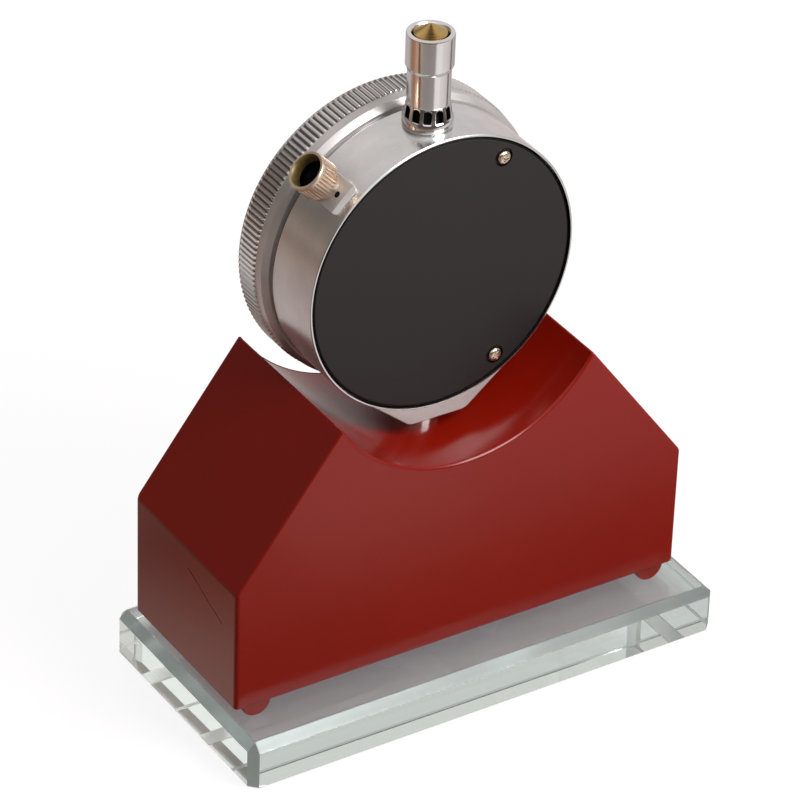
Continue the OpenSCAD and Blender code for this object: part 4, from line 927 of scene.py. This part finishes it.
def makeThumbScrew():
    t = thumbScrew
    low = clamp["caseRadius"] + clamp["lugThick"]
    base, top = low + t["neckHeight"], low + t["neckHeight"] + t["height"]
    r, inner, end = t["radius"], t["radius"] - t["wall"], low - t["shankLong"]
    profile = [(0, end), (t["shank"] - 0.2, end), (t["shank"], end + 0.2), (t["shank"], low + 0.02),
               (t["neck"] - 0.1, low + 0.02), (t["neck"], low + 0.15), (t["neck"], base),
               (r - 0.8, base + 0.1), (r - 0.12, base + 0.6), (r, base + 0.85), (r, top - 0.9),
               (r - 0.02, top - 0.75), (r - 0.02, top - 0.25), (r - 0.18, top - 0.04),
               (inner + 0.1, top - 0.06), (inner - 0.06, top - 0.3), (inner - 0.2, top - 0.8),
               (inner - 0.25, top - 2.3), (inner - 0.3, top - 3.6), (inner - 0.9, top - 4.3),
               (0, top - t["boreDeep"])]
    screw = lathe("thumbScrew", profile, perFlute * t["flutes"])
    edit(screw)

    def inFlute(vertex):
        x, y, z = vertex.co / mm
        return columnOf(x, y, t["flutes"]) == 0 and base + 0.5 < z < top - 0.85 and math.hypot(x, y) > r - 0.3
    choose(screw, "VERT", inFlute)
    inward = 1 - t["fluteDepth"] / r
    bpy.ops.transform.resize(value=(inward, inward, 1), center_override=(0, 0, 0))
    done()
    # painted shade inside the bore: darker brass in it, near-black in its deep part
    bore = [face.index for face in screw.data.polygons if face.center.z / mm > base - 0.6
            and math.hypot(face.center.x, face.center.y) / mm < inner + 0.02]
    deep = [index for index in bore if screw.data.polygons[index].center.z / mm < top - 2.4]
    moved(screw, clampPlace)
    finished(screw, "thumb_screw", ["clamp_screw"], "turned_brass", 30, "thumbNickel")
    refinished(screw, "boreShadeBrass", lambda face: face.index in bore)
    refinished(screw, "paintedShade", lambda face: face.index in deep)


makeLug()
makeThumbScrew()

# black back cover: pressed plate with a rounded edge, sunk places and two cross-head screws
backCover = {"edge": 0.95, "screwX": -12.5, "screwZ": 21.5, "sunk": 0.6, "place": 1.9, "shankRoom": 0.1}
coverScrew = {"head": 1.4, "height": 1.3, "shank": 0.7, "length": 6.0, "cross": (0.85, 0.17, 0.5), "turn": 20,
              "soft": 0.04}


def makeCover():
    c = backCover
    radius, thick = (coverHigh.x - coverLow.x) / 2, coverHigh.y - coverLow.y
    angles = [math.radians(a) for a in range(0, 91, 18)]
    arc = [(radius - c["edge"] * (1 - math.cos(a)), -c["edge"] * (1 - math.sin(a))) for a in angles]
    cover = lathe("backCover", [(0, -thick), (radius, -thick)] + arc + [(0, 0)], 192)
    seat = shift(0, coverHigh.y, 0) @ dialPlace
    moved(cover, seat)
    for side in (-1, 1):
        at = shift(c["screwX"], side * c["screwZ"], 0)
        combine(cover, moved(rod("place", c["place"], -c["sunk"], 5, 64), seat @ at))
        combine(cover, moved(rod("hole", coverScrew["shank"] + c["shankRoom"], -5, 5, 32), seat @ at))
    finished(cover, "housing", ["back_cover"], "black_cover", 30)
    # painted shade and painted dark reflection: faces of the cover that don't face straight back, its rounded
    # edge and the walls of its sunk places, are near-black
    refinished(cover, "paintedShade", lambda face: face.normal.y < 0.97)


def makeCoverScrews():
    c, screws = coverScrew, []
    head, top, (long, wide, deep) = c["head"], c["height"], c["cross"]
    for side in (-1, 1):
        profile = [(0, -c["length"]), (c["shank"], -c["length"]), (c["shank"], 0.0), (head, 0.0),
                   (head, top - 0.6), (head - 0.08, top - 0.4), (head - 0.3, top - 0.2), (0.75, top - 0.06),
                   (0.0, top)]
        screw = lathe("screw", profile, 64)
        for across in (0, turn / 4):
            arm = block("arm", (-long, -wide, top - deep), (long, wide, 2))
            combine(screw, moved(arm, Matrix.Rotation(across + math.radians(c["turn"] * side), 4, "Z")))
        soften(screw, c["soft"], 2, 40)
        at = shift(backCover["screwX"], side * backCover["screwZ"], 0)
        seat = shift(0, coverHigh.y - backCover["sunk"], 0) @ dialPlace
        screws.append(moved(screw, seat @ at))
    screws = joined(screws)
    named("coverScrews")
    finished(screws, "housing", ["back_cover_screws"], "bright_chrome", 30, "screwNickel")


makeCover()
makeCoverScrews()

# dial: scale ring that turns with the bezel, fixed centre with the counter's scale
# each row of ticks is how many, their inner and outer radius and their width
dialFace = {"ticks": [(100, 24.5, 25.6, 0.13), (20, 23.8, 24.5, 0.16), (10, 22.9, 23.8, 0.3)],
            "numberAt": 20.6, "numberSize": 3.4, "ink": 0.03, "edge": 0.08, "inner": 17.1, "arborHole": 0.8}
counterFace = {"ticks": [(50, 5.15, 5.5, 0.09), (10, 4.7, 5.15, 0.14)], "numberAt": 3.75, "numberSize": 1.3}
scaleLow, scaleHigh = span("scale_ring")
centreLow, centreHigh = span("centre_dial")
pinionLow, pinionHigh = span("rack_pinion")


def facePlace(x, z, front):
    # X to the right and Y up on the dial's face, +Z to the reader
    return shift(x, front, z) @ layDown


def makeMarks(name, face, count, step, place):
    pieces = []
    for ticks, low, high, wide in face["ticks"]:
        tick = block("tick", (-wide / 2, low, 0), (wide / 2, high, dialFace["ink"]))
        pieces.append(around(tick, ticks))
    for k in range(count):
        clear()
        bpy.ops.object.text_add()
        number = bpy.context.object
        number.data.body = str(k * step)
        number.data.size = face["numberSize"] * mm
        number.data.extrude = dialFace["ink"] / 2 * mm
        number.data.align_x, number.data.align_y = "CENTER", "CENTER"
        bpy.ops.object.convert(target="MESH")
        angle = turn * k / count
        at = Vector((math.sin(angle), math.cos(angle), 0)) * face["numberAt"] * mm
        at.z = dialFace["ink"] / 2 * mm
        pieces.append(moved(bpy.context.object, Matrix.Translation(at)))
    marks = joined(pieces)
    named(name)
    return moved(marks, place)


def makeDial():
    rim, inner = dialFace["edge"], dialFace["inner"]
    outer, deep = (scaleHigh.x - scaleLow.x) / 2, scaleHigh.y - scaleLow.y
    profile = [(inner, 0), (outer, 0), (outer, -deep + rim), (outer - rim, -deep), (inner + rim, -deep),
               (inner, -deep + rim), (inner, 0)]
    ring = lathe("scaleRing", profile)
    moved(ring, shift(0, scaleHigh.y, 0) @ dialPlace)
    finished(ring, "bezel", ["scale_ring"], "white_dial", 30)
    marks = makeMarks("scaleMarks", dialFace, 10, 10, facePlace(dialX, dialZ, scaleLow.y))
    finished(marks, "bezel", [], "black_pointer", 30)
    disc = rod("centreDial", (centreHigh.x - centreLow.x) / 2, 0, centreHigh.y - centreLow.y, 128)
    soften(disc, rim, 2)
    moved(disc, facePlace(dialX, dialZ, centreHigh.y))
    counterX, counterZ = (pinionLow.x + pinionHigh.x) / 2, (pinionLow.z + pinionHigh.z) / 2
    for x, z in ((dialX, dialZ), (counterX, counterZ)):
        hole = rod("hole", dialFace["arborHole"], -5, 5, 48)
        combine(disc, moved(hole, facePlace(x, z, centreHigh.y)))
    finished(disc, "housing", ["centre_dial"], "white_dial", 30)
    marks = makeMarks("counterMarks", counterFace, 10, 1, facePlace(counterX, counterZ, centreLow.y))
    finished(marks, "housing", [], "black_pointer", 30)


makeDial()

# the two coil springs, each with the bodies at its lower and upper end
coilSprings = {"rackSpring": {"node": "rack_spring", "bodies": ("housing", "bar")},
               "returnSpring": {"node": "return_spring", "bodies": ("bar", "housing")}}


def makeSpring(name, node, bodies):
    # a copy of the solid's own coil, with its doubles merged, in spring steel
    spring = nodes[node].copy()
    spring.data = nodes[node].data.copy()
    bpy.context.scene.collection.objects.link(spring)
    spring.parent = None
    spring.matrix_world = Matrix.Identity(4)
    edit(spring)
    bpy.ops.mesh.select_all(action="SELECT")
    bpy.ops.mesh.remove_doubles(threshold=weld)
    done()
    named(name)
    bpy.ops.object.shade_smooth_by_angle(angle=math.radians(40))
    spring.data.materials.clear()
    spring.data.materials.append(finishes["spring_steel"])
    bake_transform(spring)
    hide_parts(node)
    print(name, len(spring.data.polygons), "faces")


for name, spring in coilSprings.items():
    makeSpring(name, **spring)


bpy.context.view_layer.update()
